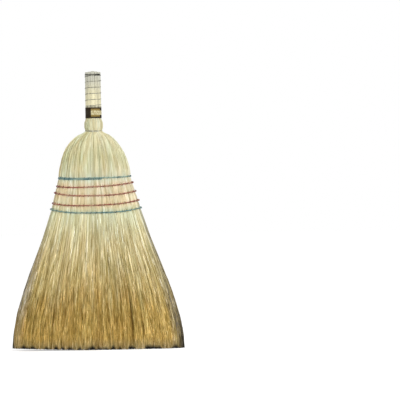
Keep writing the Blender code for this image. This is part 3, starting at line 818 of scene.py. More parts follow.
@dataclass(frozen=True)
class FanForm:
    """The form of the brush, level by level: its outer oval and the oval of its filling.

    A place on it is a height and a share of the way round, from the right side by the back.
    """

    butt: float = 0.4925
    label_foot: float = 0.482
    neck: float = 0.455
    groove: float = 0.0029
    bundle_radius: float = 0.0162
    knot_swell: float = 0.0030
    neck_radius: float = 0.0176
    core_radius: float = 0.0107
    shoulder_width: float = 0.152
    sewn_width: float = 0.191
    sweep_width: float = 0.358
    sewn_thickness: float = 0.051
    sweep_thickness: float = 0.068
    belly: float = 0.0020
    lean: float = 0.0015
    lean_top: float = 0.356
    lean_run: float = 0.080
    bulge: float = 0.0028
    bulge_height: float = 0.419
    bulge_reach: float = 0.022
    seam: float = 0.0014
    side_bite: float = 0.0006
    seam_reach: float = 0.0032
    trim_rise: float = 0.0060
    trim_start: float = 0.15
    brushes: int = 12
    tufts: int = 3
    loose_levels: tuple[float, float, int] = (-0.01, 0.35, 80)
    dome_foot: float = 0.351
    dome_levels: int = 150
    dome_powers: Pair = (1.7, 0.55)
    squareness: Pair = (2.0, 2.8)
    core_squareness: Pair = (2.0, 4.0)
    core_start: float = 0.008
    side_cover: Pair = (0.018, 0.026)
    face_cover: Pair = (0.015, 0.023)
    turn_step: float = 0.004
    height_step: float = 0.0015
    quarter_points: int = 181
    steps: int = 360

    @property
    def first(self) -> float:
        """Drop of the first row of sewing."""
        return ROWS[0].drop

    @property
    def last(self) -> float:
        """Drop of the last row of sewing."""
        return ROWS[-1].drop

    @property
    def levels(self) -> Array:
        """Heights at which the ovals are worked out, closer in the dome and the knot."""
        dome = np.linspace(self.dome_foot, self.butt, self.dome_levels)
        return np.concatenate([np.linspace(*self.loose_levels), dome])

    def looseness(self, heights: Array) -> Array:
        """From 0 at the last row of sewing to 1 at the tips."""
        return clamp((self.neck - heights - self.last) / (self.neck - self.last))

    def dome(self, drop: Array, start: float) -> Array:
        """Share of the spread from the neck to the first row of sewing."""
        first_power, second_power = self.dome_powers
        return (1 - (1 - rise(drop, start, self.first - start)) ** first_power) ** second_power

    def ovals(self) -> tuple[Array, Array]:
        """Half width, half depth and squareness of the outer oval and the filling's, by level."""
        heights = self.levels
        drop = self.neck - heights
        sewn = rise(drop, self.first, self.last - self.first)
        loose = self.looseness(heights)
        spread = loose + loose**2 * (1 - loose)
        width = mix(mix(self.shoulder_width, self.sewn_width, sewn), self.sweep_width, spread) / 2
        depth = mix(self.sewn_thickness, self.sweep_thickness, loose) / 2
        depth = depth + self.belly * loose * (1 - loose)
        spring = self.dome(drop, self.groove)
        part = rise(-drop, self.groove, self.label_foot - self.neck - self.groove)
        swell = self.knot_swell * np.sin(math.pi * part) ** 0.5
        base = mix(self.neck_radius, self.bundle_radius, part) + swell
        outer = [mix(base, width, spring), mix(base, depth, spring), mix(*self.squareness, spring)]
        spring = self.dome(drop, self.core_start)
        core = [
            mix(self.core_radius, width - mix(*self.side_cover, loose), spring),
            mix(self.core_radius, depth - mix(*self.face_cover, loose), spring),
            mix(*self.core_squareness, spring),
        ]
        return np.stack(outer, 1), np.stack(core, 1)

    def rings(self, ovals: Array) -> tuple[Array, Array]:
        """Samples ovals at even steps.

        Args:
            ovals: Half width, half depth and squareness of each.

        Returns:
            Points round each oval, closed, and each oval's length once round.
        """
        angle = np.linspace(0, math.pi / 2, self.quarter_points)
        quarter = self.steps // 4
        found, lengths = [], []
        for width, depth, square in ovals:
            x = width * np.maximum(np.cos(angle), 0.0) ** (2 / square)
            y = depth * np.sin(angle) ** (2 / square)
            run = np.concatenate([[0.0], np.cumsum(np.hypot(np.diff(x), np.diff(y)))])
            even = np.linspace(0, run[-1], quarter + 1)
            x, y = np.interp(even, run, x), np.interp(even, run, y)
            round_x = np.concatenate([x[:-1], -x[:0:-1], -x[:-1], x[:0:-1], x[:1]])
            round_y = np.concatenate([y[:-1], y[:0:-1], -y[:-1], -y[:0:-1], y[:1]])
            found.append(np.stack([round_x, round_y], 1))
            lengths.append(4 * run[-1])
        return np.stack(found), np.array(lengths)


class Fan:
    """Finds points on and in the brush."""

    def __init__(self, form: FanForm) -> None:
        """Works the form's ovals out once."""
        self.form = form
        outer, core = form.ovals()
        self.half_widths = outer[:, 0]
        self.outer, self.lengths = form.rings(outer)
        self.core, _ = form.rings(core)

    def sample(self, table: Array, heights: Array, shares: Array) -> Array:
        """Reads a table of ovals between its levels and its steps.

        Args:
            table: Flat points, as levels x steps x 2.
            heights: Heights to read it at.
            shares: Shares of the way round to read it at.

        Returns:
            The flat points there.
        """
        level = np.interp(heights, self.form.levels, np.arange(len(self.form.levels)))
        low = np.clip(level.astype(int), 0, len(table) - 2)
        up = (level - low)[..., None]
        turn = (shares % 1.0) * self.form.steps
        before = np.clip(turn.astype(int), 0, self.form.steps - 1)
        on = (turn - before)[..., None]
        lower = mix(table[low, before], table[low, before + 1], on)
        upper = mix(table[low + 1, before], table[low + 1, before + 1], on)
        return mix(lower, upper, up)

    def around(self, heights: Array) -> Array:
        """Length once round the outer oval at each height."""
        return np.interp(heights, self.form.levels, self.lengths)

    def half_width(self, heights: Array) -> Array:
        """Half width of the brush at each height."""
        return np.interp(heights, self.form.levels, self.half_widths)

    def trim(self, x: Array) -> Array:
        """Height of the trimmed edge across the broom, which rises slowly to the left."""
        across = np.clip(x / (self.form.sweep_width / 2), -1.0, 1.0)
        return self.form.trim_rise * clamp(-across - self.form.trim_start)

    def across(self, row: SewingRow, x: Array) -> Array:
        """Place across a row of sewing, from -1 at its left end to 1 at its right end."""
        return np.clip(x / self.half_width(self.form.neck - row.drop), -1.0, 1.0)

    def row_height(self, row: SewingRow, x: Array) -> Array:
        """Height of a row of sewing at each place across."""
        across = self.across(row, x)
        return self.form.neck - row.drop + row.rise * np.abs(across) ** 3 + row.tilt * across

    def bite(self, row: SewingRow, x: Array) -> Array:
        """How far a row of sewing draws the fibre in, which is more at the shoulders."""
        return self.form.seam + self.form.side_bite * self.across(row, x) ** 6

    def pinch(self, heights: Array, x: Array) -> Array:
        """How far the rows of sewing draw the fibre in at these heights."""
        drawn = np.zeros(np.broadcast(heights, x).shape)
        for row in ROWS:
            near = bell(heights, self.row_height(row, x), self.form.seam_reach)
            drawn = np.maximum(drawn, self.bite(row, x) * near)
        return drawn

    def settled(self, flat: Array, heights: Array) -> Array:
        """Flat points as hand work leaves them: the left of the dome fuller, the tips leant right."""
        form = self.form
        way = clamp((form.lean_top - heights) / form.lean_run)
        left = clamp(-flat[..., 0] / self.half_width(heights))
        bulge = form.bulge * left * bell(heights, form.bulge_height, form.bulge_reach)
        aside = form.lean * way * way * (3 - 2 * way) - bulge
        return flat + np.stack([aside, np.zeros_like(aside)], -1)

    def skin(self, heights: Array, shares: Array) -> Array:
        """Points of the outer surface, before the sewing draws it in."""
        flat = self.settled(self.sample(self.outer, heights, shares), heights)
        return np.concatenate([flat, np.broadcast_to(heights, flat.shape[:-1])[..., None]], -1)

    def outward(self, heights: Array, shares: Array) -> Array:
        """Directions square to the surface."""
        turn, rise_by = self.form.turn_step, self.form.height_step
        aside = self.skin(heights, shares + turn) - self.skin(heights, shares - turn)
        up = self.skin(heights + rise_by, shares) - self.skin(heights - rise_by, shares)
        return unit(np.cross(aside, up))

    def inside(self, heights: Array, shares: Array, inset: Array) -> tuple[Array, Array]:
        """Finds points under the surface that the sewing has drawn in.

        Args:
            heights: Their heights.
            shares: Their shares of the way round.
            inset: How far they are below it.

        Returns:
            The points, and the outward directions there.
        """
        points, outs = self.skin(heights, shares), self.outward(heights, shares)
        depth = inset + self.pinch(heights, points[..., 0])
        return points - outs * depth[..., None], outs

    def filling(self, heights: Array, shares: Array, deep: Array) -> Array:
        """Points of the filling, from its back at 0 to its front at 1."""
        flat = self.settled(self.sample(self.core, heights, shares), heights)
        x, y = flat[..., 0], flat[..., 1] * (1 - 2 * deep)
        return np.stack([x, y, np.broadcast_to(heights, x.shape)], -1)


@dataclass(frozen=True)
class FibreKind:
    """One layer of fibre in each brush.

    Attributes:
        count: Fibres in the layer.
        tops: Lowest and highest of their upper ends.
        radii: At the upper end and at the tip.
        insets: Least and greatest depth below the surface at the tips.
        emerge: Length over which a fibre comes up to its place.
        wander: How far it strays to each side at the tips.
        roll: How far it moves in and out at the tips.
        tones: Darkest and lightest.
        rings: Rows of corners along it, or along each part above and below the sewing.
        lengths: Least and greatest length, where it ends above the trimmed edge.
    """

    count: int
    tops: tuple[float, float]
    radii: tuple[float, float]
    insets: tuple[float, float]
    emerge: float
    wander: float
    roll: float
    tones: tuple[float, float]
    rings: int
    lengths: tuple[float, float] | None = None


WHOLE_STEMS = FibreKind(
    30, (0.4925, 0.4925), (0.00072, 0.00036), (0.0002, 0.0020), 0.0, 0.0022, 0.0007, (0.89, 1.06), 6
)
DOME_STEMS = FibreKind(
    52, (0.375, 0.450), (0.00070, 0.00032), (0.0, 0.0024), 0.030, 0.0026, 0.0008, (0.89, 1.06), 6
)
LOOSE_STEMS = FibreKind(
    36, (0.235, 0.276), (0.00072, 0.00030), (0.0, 0.0020), 0.030, 0.0030, 0.0009, (0.80, 1.12), 12
)
BRANCHES = FibreKind(
    210, (0.110, 0.285), (0.00044, 0.00024), (0.0, 0.0040), 0.040, 0.0044, 0.0011, (0.69, 1.20), 16
)
SPRAYS = FibreKind(
    150, (0.035, 0.130), (0.00038, 0.00020), (0.0, 0.0030), 0.026, 0.0040, 0.0010, (0.67, 1.22), 10
)
STRAWS = FibreKind(
    150,
    (0.040, 0.290),
    (0.00050, 0.00018),
    (-0.0003, 0.0012),
    0.012,
    0.0050,
    0.0007,
    (0.50, 1.55),
    6,
    (0.020, 0.065),
)
# The filling's tones are darker than the outer fibres' as painted shade deep in the brush.
FILLING = FibreKind(
    120, (0.050, 0.090), (0.00060, 0.00040), (0.0040, 0.0220), 0.020, 0.0030, 0.0010, (0.45, 0.85), 5
)
KINDS = (WHOLE_STEMS, DOME_STEMS, LOOSE_STEMS, BRANCHES, SPRAYS, STRAWS, FILLING)


class Patches:
    """Smooth random patches round and along the brush, from -1 to 1."""

    rows = 64
    sharpness = 0.8

    def __init__(self, seed: int, columns: int, height: float, slant: float = 0.0) -> None:
        """Sets how many patches go round, how high one is, and how they slant.

        Args:
            seed: Seed of their values.
            columns: How many go round.
            height: Height of one, in metres.
            slant: Share of the way round that they move sideways in each metre up.
        """
        self.columns = columns
        self.height = height
        self.slant = slant
        self.values = np.random.default_rng(seed).uniform(-1, 1, (self.rows, columns))

    def value(self, row: Array, column: Array) -> Array:
        """The random values at the corners of the patches."""
        return self.values[row % self.rows, column % self.columns]

    def at(self, heights: Array, shares: Array) -> Array:
        """Reads the patches.

        Args:
            heights: Heights to read them at.
            shares: Shares of the way round to read them at.

        Returns:
            Values from -1 to 1.
        """
        across = ((shares + self.slant * heights) % 1.0) * self.columns
        up = heights / self.height + self.rows
        column, row = np.floor(across).astype(int), np.floor(up).astype(int)
        on, over = across - column, up - row
        on, over = ease(on), ease(over)
        low = mix(self.value(row, column), self.value(row, column + 1), on)
        high = mix(self.value(row + 1, column), self.value(row + 1, column + 1), on)
        smooth = mix(low, high, over)
        return np.sign(smooth) * np.abs(smooth) ** self.sharpness


@dataclass(frozen=True)
class Variation:
    """How patches of one size vary the straw's tone.

    Attributes:
        patches: The patches.
        packed: How much they vary it where the straw is packed.
        loose: How much they vary it where it is loose.
        shorter: Whether the patches get shorter towards the tips.
    """

    patches: Patches
    packed: float
    loose: float
    shorter: bool = False


@dataclass(frozen=True)
class Fade:
    """A share from 0 to 1 that changes evenly with height.

    Attributes:
        base: The share on the floor. It may lie outside 0 to 1.
        run: Height over which it gains 1, or, where it is negative, loses 1.
    """

    base: float
    run: float

    def at(self, heights: Array) -> Array:
        """The share at these heights."""
        return clamp(self.base + heights / self.run)


@dataclass(frozen=True)
class Corner:
    """Black straw at one of the fan's lowest corners.

    Attributes:
        edge: Share of the half width where it begins above its reach.
        reach: How much further inwards it begins on the floor.
        top: Height at which the reach ends.
        run: Share of the half width over which it gets black.
        fade: How it fades upwards.
    """

    edge: float
    reach: float
    top: float
    run: float
    fade: Fade

    def share(self, beside: Array, z: Array) -> Array:
        """How black the straw is at these shares of the half width and heights."""
        inwards = self.reach * fall(z, self.top)
        return clamp((beside - self.edge + inwards) / self.run) * self.fade.at(z)


@dataclass(frozen=True)
class StrawMarks:
    """What the straw's material reads at each corner: its tone, hue, wear and stains."""

    fan: Fan
    variations: tuple[Variation, ...] = (
        Variation(Patches(21, 250, 0.020, 0.02), 0.06, 0.12),
        Variation(Patches(24, 460, 0.010, 0.07), 0.10, 0.58, shorter=True),
        Variation(Patches(26, 420, 0.0055, -0.09), 0.08, 0.66, shorter=True),
        Variation(Patches(22, 84, 0.050), 0.03, 0.08),
        Variation(Patches(28, 120, 0.012), 0.09, 0.02),
    )
    shorter_from: float = 0.07
    shorter_gain: float = 0.9
    tuft_tones: Pair = (0.95, 1.05)
    dark_share: float = 0.10
    dark_tones: Pair = (0.74, 0.58)
    own_hue: float = 0.7
    tuft_hue: float = 0.3
    burns: Patches = Patches(29, 96, 0.045, 0.03)
    burn_reach: float = 0.044
    burn_foot: float = 0.015
    burn_run: float = 0.09
    blushes: Patches = Patches(27, 42, 0.018)
    blush_gains: Pair = (1.0, 0.4)
    tip_patches: Patches = Patches(23, 110, 1.0)
    tip_patch_gain: float = 0.85
    # Painted shade in some valleys between tufts, and painted light near every valley's middle.
    shade_wedge_top: float = 0.150
    shade_wedge_width: float = 0.60
    shade_wedge_foot: float = 0.010
    shade_wedge_run: float = 0.030
    shade_wedges: Array = field(
        default_factory=lambda: np.random.default_rng(25).uniform(-0.7, 1.0, 36).clip(0)
    )
    deepest: int = 32
    deepest_shade: float = 1.1
    lit_gain: float = 0.22
    lit_narrowing: float = 1.4
    grey_edge: float = 0.86
    right_strength: float = 1.1
    right_run: float = 0.08
    right_fades: tuple[Fade, Fade] = (Fade(1.30, -0.20), Fade(0.35, 0.09))
    left_run: float = 0.07
    left_middle: float = 0.135
    left_reach: float = 0.100
    rim_strengths: Pair = (0.80, 0.55)
    rim_edge: float = 0.95
    rim_run: float = 0.03
    rim_fade: Fade = Fade(4.0, -0.085)
    dull_edge: float = 0.955
    dull_run: float = 0.025
    left_corner: Corner = Corner(0.985, 0.022, 0.08, 0.015, Fade(1.6, -0.05))
    right_corner: Corner = Corner(0.990, 0.046, 0.13, 0.012, Fade(1.15, -0.10))
    stain_reach: float = 0.0052
    stain_strength: float = 0.36

    @staticmethod
    def packed() -> dict[str, Array]:
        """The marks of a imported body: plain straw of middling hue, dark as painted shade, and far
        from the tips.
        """
        plain = ("edge", "dull", "blackening", "corner", "blue", "red", "warmth", "lift")
        # Tone 0.5 is painted shade on the body under the fibres.
        marks = dict.fromkeys(plain, 0.0) | {"tone": 0.5, "hue": 0.5, "above": 1.0}
        return {name: np.full((1, 1), value) for name, value in marks.items()}

    def fibres(
        self, corners: Array, tones: Pair, tuft: Array, shares: Array, chance: np.random.Generator
    ) -> dict[str, Array]:
        """The marks of laid fibres.

        Args:
            corners: Their corners, as fibres x corners x 3.
            tones: Darkest and lightest tone.
            tuft: Number of each fibre's tuft.
            shares: Share of the way round of each corner.
            chance: The brush's random numbers.

        Returns:
            The values for the material, as fibres x corners.
        """
        x, z = corners[..., 0], corners[..., 2]
        loose = self.fan.form.looseness(z)
        settled = loose**0.5 * rise(z, self.burn_foot, self.burn_run)
        own, tufts = (len(corners), 1), self.fan.form.tufts
        tone = chance.uniform(*tones, own)
        tone = tone * mix(*self.tuft_tones, chance.uniform(0, 1, tufts))[tuft][:, None]
        dark = chance.uniform(0, 1, own) < self.dark_share
        hue = self.own_hue * chance.uniform(0, 1, own)
        hue = hue + self.tuft_hue * chance.uniform(0, 1, tufts)[tuft][:, None]
        return {
            "tone": self.varied(tone, dark, z, shares),
            "hue": hue,
            "warmth": mix(*self.blush_gains, loose) * self.blushes.at(z, shares),
            "lift": self.burn_reach * settled * self.burns.at(z, shares),
            # How black the straw gets towards the trimmed tips, in patches across the broom.
            "blackening": 1.00 + self.tip_patch_gain * self.tip_patches.at(np.zeros_like(z), shares),
            "above": z - self.fan.trim(x),
            **self.weathering(x, z),
            **self.stains(x, z),
        }

    def varied(self, tone: Array, dark: Array, heights: Array, shares: Array) -> Array:
        """The tone with darker fibres, patches, and painted shade and light where tufts part, all
        livelier in the loose straw.

        Args:
            tone: Each fibre's own tone, as fibres x 1.
            dark: Whether it is one of the darker ones, as fibres x 1.
            heights: Height of each corner.
            shares: Share of the way round of each corner.

        Returns:
            The tone at each corner.
        """
        loose = self.fan.form.looseness(heights)
        lively = loose**0.60 * (1 - 0.45 * fall(heights, 0.055))
        closer = heights - self.shorter_gain * np.clip(self.shorter_from - heights, 0, None)
        tone = np.where(dark, mix(*self.dark_tones, lively) * tone, tone)
        for each in self.variations:
            swing = each.patches.at(closer if each.shorter else heights, shares)
            tone = tone * (1 + mix(each.packed, each.loose, lively) * swing)
        return tone * self.valley_light_and_shade(heights, shares)

    def valley_light_and_shade(self, heights: Array, shares: Array) -> Array:
        """Factor on the straw's tone where tufts part, which paints light and shade.

        Some valleys get painted shade, dark and wedge-shaped, widening to the tips. The straw near the
        middle of every valley gets painted light, so that the others hardly show.

        Args:
            heights: Heights.
            shares: Shares of the way round.

        Returns:
            The factor at these places.
        """
        form = self.fan.form
        place = (shares * form.brushes + 0.5) * form.tufts
        valley = np.round(place).astype(int) % len(self.shade_wedges)
        beside = np.abs(place - np.round(place)) * 2
        width = self.shade_wedge_width * fall(heights, self.shade_wedge_top)
        strength = np.where(valley == self.deepest, self.deepest_shade, self.shade_wedges[valley])
        # Painted shade: dark and wedge-shaped in the valleys between tufts.
        dark = strength * fall(beside, np.maximum(width, 1e-4))
        dark = dark * rise(heights, self.shade_wedge_foot, self.shade_wedge_run)
        # Painted light near the middle of every valley, in the loose straw.
        lit = self.lit_gain * form.looseness(heights) * clamp(1 - self.lit_narrowing * beside)
        return 1 + lit - dark

    def weathering(self, x: Array, z: Array) -> dict[str, Array]:
        """The wear of the fan's side edges, and the black of its lowest corners.

        Args:
            x: Places across the broom.
            z: Heights.

        Returns:
            How worn the straw is there, how dull that wear is, and how black the corners are.
        """
        beside = np.abs(x) / self.fan.half_width(z)
        right = self.right_strength * rise(beside, self.grey_edge, self.right_run)
        for fade in self.right_fades:
            right = right * fade.at(z)
        left = rise(beside, self.grey_edge, self.left_run) * bell(z, self.left_middle, self.left_reach)
        rim = np.where(x > 0, *self.rim_strengths) * rise(beside, self.rim_edge, self.rim_run)
        rim = rim * self.rim_fade.at(z)
        black = np.where(x > 0, self.right_corner.share(beside, z), self.left_corner.share(beside, z))
        return {
            "edge": clamp(np.maximum(np.where(x > 0, right, left), rim)),
            "dull": np.where(x > 0, 1.0, rise(beside, self.dull_edge, self.dull_run)),
            "corner": black,
        }

    def stains(self, x: Array, z: Array) -> dict[str, Array]:
        """How much of each twine's dye has rubbed off on the straw beside it."""
        found = {"blue": np.zeros_like(z), "red": np.zeros_like(z)}
        for row in ROWS:
            name = "blue" if row.slot is Slot.BLUE else "red"
            stain = self.stain_strength * bell(z, self.fan.row_height(row, x), self.stain_reach)
            found[name] = np.maximum(found[name], stain)
        return found


@dataclass(frozen=True)
class BrushMaker:
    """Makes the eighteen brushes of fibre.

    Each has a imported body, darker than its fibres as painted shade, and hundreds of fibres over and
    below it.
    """

    fan: Fan
    marks: StrawMarks
    finish: bpy.types.Material
    body_inset: float = 0.0019
    body_loose_inset: float = 0.0012
    body_outside: float = 0.62
    body_foot: float = 0.016
    body_sides: int = 24
    body_rings: int = 30
    body_even: float = 0.385
    body_clearance: float = 0.001
    core_top: float = 0.446
    core_faces: Pair = (0.02, 0.98)
    core_count: int = 260
    core_tops: Pair = (0.05, 0.12)
    core_radius: float = 0.0006
    core_rings: int = 5
    core_wander: Pair = (0.004, 0.05)
    core_unevenness: float = 0.0015
    locks_each: int = 8
    seed: int = 11
    flute: float = 0.0005
    flute_power: float = 1.3
    tuft_depth: float = 0.0030
    tuft_unevenness: float = 0.35
    golden_angle: float = 2.4
    tip_clearance: float = 0.0004
    tip_unevenness: float = 0.0014
    gather: float = 0.34
    lock_gather: float = 0.6
    packed_wander: float = 0.06
    packed_roll: float = 0.25
    packed_insets: Pair = (0.0003, 0.0016)
    bury_depth: float = 0.0030
    thickness_spread: Pair = (0.75, 1.25)
    fibre_sides: int = 3
    waves: tuple[Pair, Pair] = ((0.6, 0.16), (0.4, 0.075))
    wave_spread: Pair = (0.7, 1.4)
    row_reach: float = 0.0050
    stem_rungs: tuple[float, ...] = (
        0.4925, 0.482, 0.472, 0.463, 0.4585, 0.455, 0.4515, 0.447, 0.441, 0.432, 0.420, 0.400, 0.378,
    )

    def valley(self, across: Array, sector: int, heights: Array) -> Array:
        """Depth below the ridges of a brush, in valleys that deepen down the loose fibre.

        Args:
            across: Places across the brush, from 0 to 1.
            sector: Number of the brush round the broom.
            heights: Heights, of a shape that the places broadcast to.

        Returns:
            Depths at those heights.
        """
        form = self.fan.form
        number = (sector * form.tufts + np.round(across * form.tufts)) % (form.brushes * form.tufts)
        own = 1 + self.tuft_unevenness * np.sin(self.golden_angle * number)
        from_ridge = np.abs(2 * ((across * form.tufts) % 1.0) - 1) ** self.flute_power
        return mix(self.flute, self.tuft_depth * own, form.looseness(heights)) * from_ridge

    def rungs(self, kind: FibreKind, shares: Array, tops: Array, ends: Array) -> Array:
        """Heights of the rings of each fibre, from its top to its end.

        Args:
            kind: The fibres' layer.
            shares: Where each is, as a share of the way round.
            tops: Height of each one's upper end.
            ends: Height of each one's lower end.

        Returns:
            Heights, as fibres x rings. Fibres that pass under the sewing have three at each row.
        """
        form = self.fan.form
        if kind.tops[0] < form.neck - form.first:
            return mix(tops[:, None], ends[:, None], np.linspace(0, 1, kind.rings)[None] ** 0.9)
        rows = []
        for row in ROWS:
            level = np.full(len(shares), form.neck - row.drop)
            middle = self.fan.row_height(row, self.fan.skin(level, shares)[:, 0])
            rows += [middle + self.row_reach, middle, middle - self.row_reach]
        under = np.stack(rows, 1)
        steps = np.linspace(0, 1, kind.rings)
        if kind.emerge:
            over = mix(tops[:, None], under[:, :1], steps[:-1])
        else:
            over = np.tile(self.stem_rungs, (len(shares), 1))
        return np.concatenate([over, under, mix(under[:, -1:], ends[:, None], steps[1:])], 1)

    def sway(self, chance: np.random.Generator, heights: Array, fine: float) -> Array:
        """Slow wandering along each fibre, from -1 to 1.

        Args:
            chance: The brush's random numbers.
            heights: Heights along each fibre, as fibres x rings.
            fine: Factor on the length of the shorter wave.

        Returns:
            The wandering at those heights.
        """
        one_each = (len(heights), 1)
        total = np.zeros_like(heights)
        for (weight, length), factor in zip(self.waves, (1.0, fine)):
            wave = length * factor * chance.uniform(*self.wave_spread, one_each)
            phase = chance.uniform(0, TURN, one_each)
            total += weight * np.sin(TURN * heights / wave + phase)
        return total

    def ends(self, x: Array, unevenness: float, chance: np.random.Generator) -> Array:
        """Heights of the lower ends of fibres that reach the trimmed edge at these places across."""
        return self.fan.trim(x) + self.tip_clearance + chance.exponential(unevenness, len(x))

    def gathered(
        self, across: Array, sector: int, loose: Array, chance: np.random.Generator
    ) -> tuple[Array, Array, Array]:
        """Draws the loose fibre together, into tufts and into the locks within them.

        Args:
            across: Each fibre's place across its brush, from 0 to 1.
            sector: Number of the brush round the broom.
            loose: How loose the fibre is, as fibres x rings.
            chance: The brush's random numbers.

        Returns:
            Number of each fibre's tuft, and how far it is drawn to its tuft's middle and to its
            lock, as shares of the way round.
        """
        tufts, brushes = self.fan.form.tufts, self.fan.form.brushes
        shares = (sector - 0.5 + across) / brushes
        tuft = np.minimum((across * tufts).astype(int), tufts - 1)
        centres = (sector - 0.5 + (tuft + 0.5) / tufts) / brushes
        lock = np.round(across * self.locks_each - 0.5) + 0.5
        locks = (sector - 0.5 + lock / self.locks_each) / brushes
        gather = self.gather * loose**1.5 * chance.uniform(0.0, 1.0, (len(across), 1)) ** 1.5
        to_tuft, to_lock = (centres - shares)[:, None], (locks - shares)[:, None]
        return tuft, gather * to_tuft, self.lock_gather * gather * to_lock

    def fibres(self, sheaf: Sheaf, kind: FibreKind, sector: int, chance: np.random.Generator) -> None:
        """Grows one layer of fibre in one cover brush.

        Args:
            sheaf: The brush that it belongs to.
            kind: The layer.
            sector: Number of the brush round the broom.
            chance: The brush's random numbers.
        """
        count, fan = kind.count, self.fan
        spread = (np.arange(count) + chance.uniform(0, 1, count)) / count
        across = chance.permutation(spread)
        shares = (sector - 0.5 + across) / fan.form.brushes
        tops = chance.uniform(*kind.tops, count)
        inset = chance.uniform(*kind.insets, count)
        ends = self.ends(fan.skin(np.zeros(count), shares)[:, 0], self.tip_unevenness, chance)
        if kind.lengths:
            ends = np.maximum(ends, tops - chance.uniform(*kind.lengths, count))
        heights = self.rungs(kind, shares, tops, ends)
        loose = fan.form.looseness(heights)
        stray = kind.wander * mix(self.packed_wander, 1.0, loose**0.8)
        swayed = stray * self.sway(chance, heights, 1.0) / fan.around(heights)
        tuft, to_tuft, to_lock = self.gathered(across, sector, loose, chance)
        turned = shares[:, None] + to_tuft + swayed + to_lock
        valley = self.valley(across[:, None], sector, heights)
        roll = kind.roll * mix(self.packed_roll, 1.0, loose) * self.sway(chance, heights, 0.7)
        along = (heights - ends[:, None]) / (tops - ends)[:, None]
        radii = mix(kind.radii[1], kind.radii[0], clamp(along) ** 0.8)
        deep = mix(np.clip(inset, *self.packed_insets)[:, None], inset[:, None], loose)
        bury = np.zeros_like(heights)
        if kind.emerge:
            bury = self.bury_depth * fall(tops[:, None] - heights, kind.emerge) ** 2
        depth = deep + radii * 0.6 + bury + roll + valley
        paths, outs = fan.inside(heights, turned, depth)
        radii = radii * chance.uniform(*self.thickness_spread, (count, 1))
        stock = tube_stock(self.fibre_sides, heights.shape[1])
        corners = stock.lay(paths, outs, radii)
        marks = self.marks.fibres(corners, kind.tones, tuft, turned[:, stock.ring], chance)
        sheaf.add(stock, corners, marks)

    def body(self, sheaf: Sheaf, place: Callable[[Array, Array], Array], top: float) -> None:
        """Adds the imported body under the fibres.

        Args:
            sheaf: The brush that it belongs to.
            place: Finds points for heights and for places once round the brush, from 0 to 1.
            top: Height of its upper end.
        """
        upper = [level for level in self.stem_rungs if top > level > self.body_even]
        even = np.linspace(self.body_even, self.body_foot, self.body_rings)
        heights = np.concatenate([[top], upper, even])
        stock = tube_stock(self.body_sides, len(heights))
        heights = heights[::-1][stock.ring]
        corners = place(heights, (stock.angle / TURN) % 1.0)[None]
        # The body's marks paint shade under the fibres.
        sheaf.add(stock, corners, self.marks.packed())

    def cover_place(self, sector: int, heights: Array, turn: Array) -> Array:
        """Points of an outer brush's body, across its outside and back along its inside.

        Args:
            sector: Number of the brush round the broom.
            heights: Heights of the points.
            turn: Their places once round the brush, from 0 to 1.

        Returns:
            The points.
        """
        outside = turn < self.body_outside
        back = (1 - turn) / (1 - self.body_outside)
        part = clamp(np.where(outside, turn / self.body_outside, back))
        shares = (sector - 0.5 + part) / self.fan.form.brushes
        inset = self.body_inset + self.valley(part, sector, heights)
        inset = inset + self.body_loose_inset * self.fan.form.looseness(heights)
        skin, _ = self.fan.inside(heights, shares, inset)
        core = self.fan.filling(heights, shares, np.zeros(heights.shape))
        return np.where(outside[:, None], skin, core)

    def core_place(self, group: int, heights: Array, turn: Array) -> Array:
        """Points of a filling brush's body, along its back and home along its front.

        Args:
            group: Number of the brush from the right.
            heights: Heights of the points.
            turn: Their places once round the brush, from 0 to 1.

        Returns:
            The points.
        """
        back = turn < 0.5
        part = clamp(np.where(back, 2 * turn, 2 - 2 * turn))
        shares = (group + part) / self.fan.form.brushes
        return self.fan.filling(heights, shares, np.where(back, *self.core_faces))

    def cover(self, sector: int, name: str, node: str) -> None:
        """Makes one outer brush in the place of its solid.

        Args:
            sector: Its number round the broom.
            name: The piece's name.
            node: The solid that it replaces.
        """
        chance = np.random.default_rng(self.seed + sector)
        sheaf = Sheaf()
        top = self.fan.form.butt - self.body_clearance
        self.body(sheaf, partial(self.cover_place, sector), top)
        for kind in KINDS:
            self.fibres(sheaf, kind, sector, chance)
        install(sheaf.piece(name), self.finish, Slot.STRAW, node)

    def core(self, group: int, name: str, node: str) -> None:
        """Makes one brush of the filling: packed fibre with its tips loose.

        Args:
            group: Its number from the right.
            name: The piece's name.
            node: The solid that it replaces.
        """
        fan, count = self.fan, self.core_count
        chance = np.random.default_rng(self.seed + fan.form.brushes + group)
        sheaf = Sheaf()
        self.body(sheaf, partial(self.core_place, group), self.core_top)
        shares = (group + chance.uniform(0, 1, count)) / fan.form.brushes
        deep = chance.uniform(0, 1, count)
        tips = fan.filling(np.zeros(count), shares, deep)[:, 0]
        ends = self.ends(tips, self.core_unevenness, chance)
        tops = chance.uniform(*self.core_tops, count)
        heights = mix(tops[:, None], ends[:, None], np.linspace(0, 1, self.core_rings)[None])
        aside, inwards = self.core_wander
        turned = shares[:, None] + aside * self.sway(chance, heights, 1.0)
        deeps = clamp(deep[:, None] + inwards * self.sway(chance, heights, 1.0))
        paths = fan.filling(heights, turned, deeps)
        outs = np.broadcast_to(np.array([0.0, 1.0, 0.0]), paths.shape)
        stock = tube_stock(self.fibre_sides, self.core_rings)
        corners = stock.lay(paths, outs, np.full(heights.shape, self.core_radius))
        tuft = chance.integers(0, fan.form.tufts, count)
        # Filling tones, darkened as painted shade deep in the fan.
        marks = self.marks.fibres(corners, FILLING.tones, tuft, turned[:, stock.ring], chance)
        sheaf.add(stock, corners, marks)
        install(sheaf.piece(name), self.finish, Slot.STRAW, node)

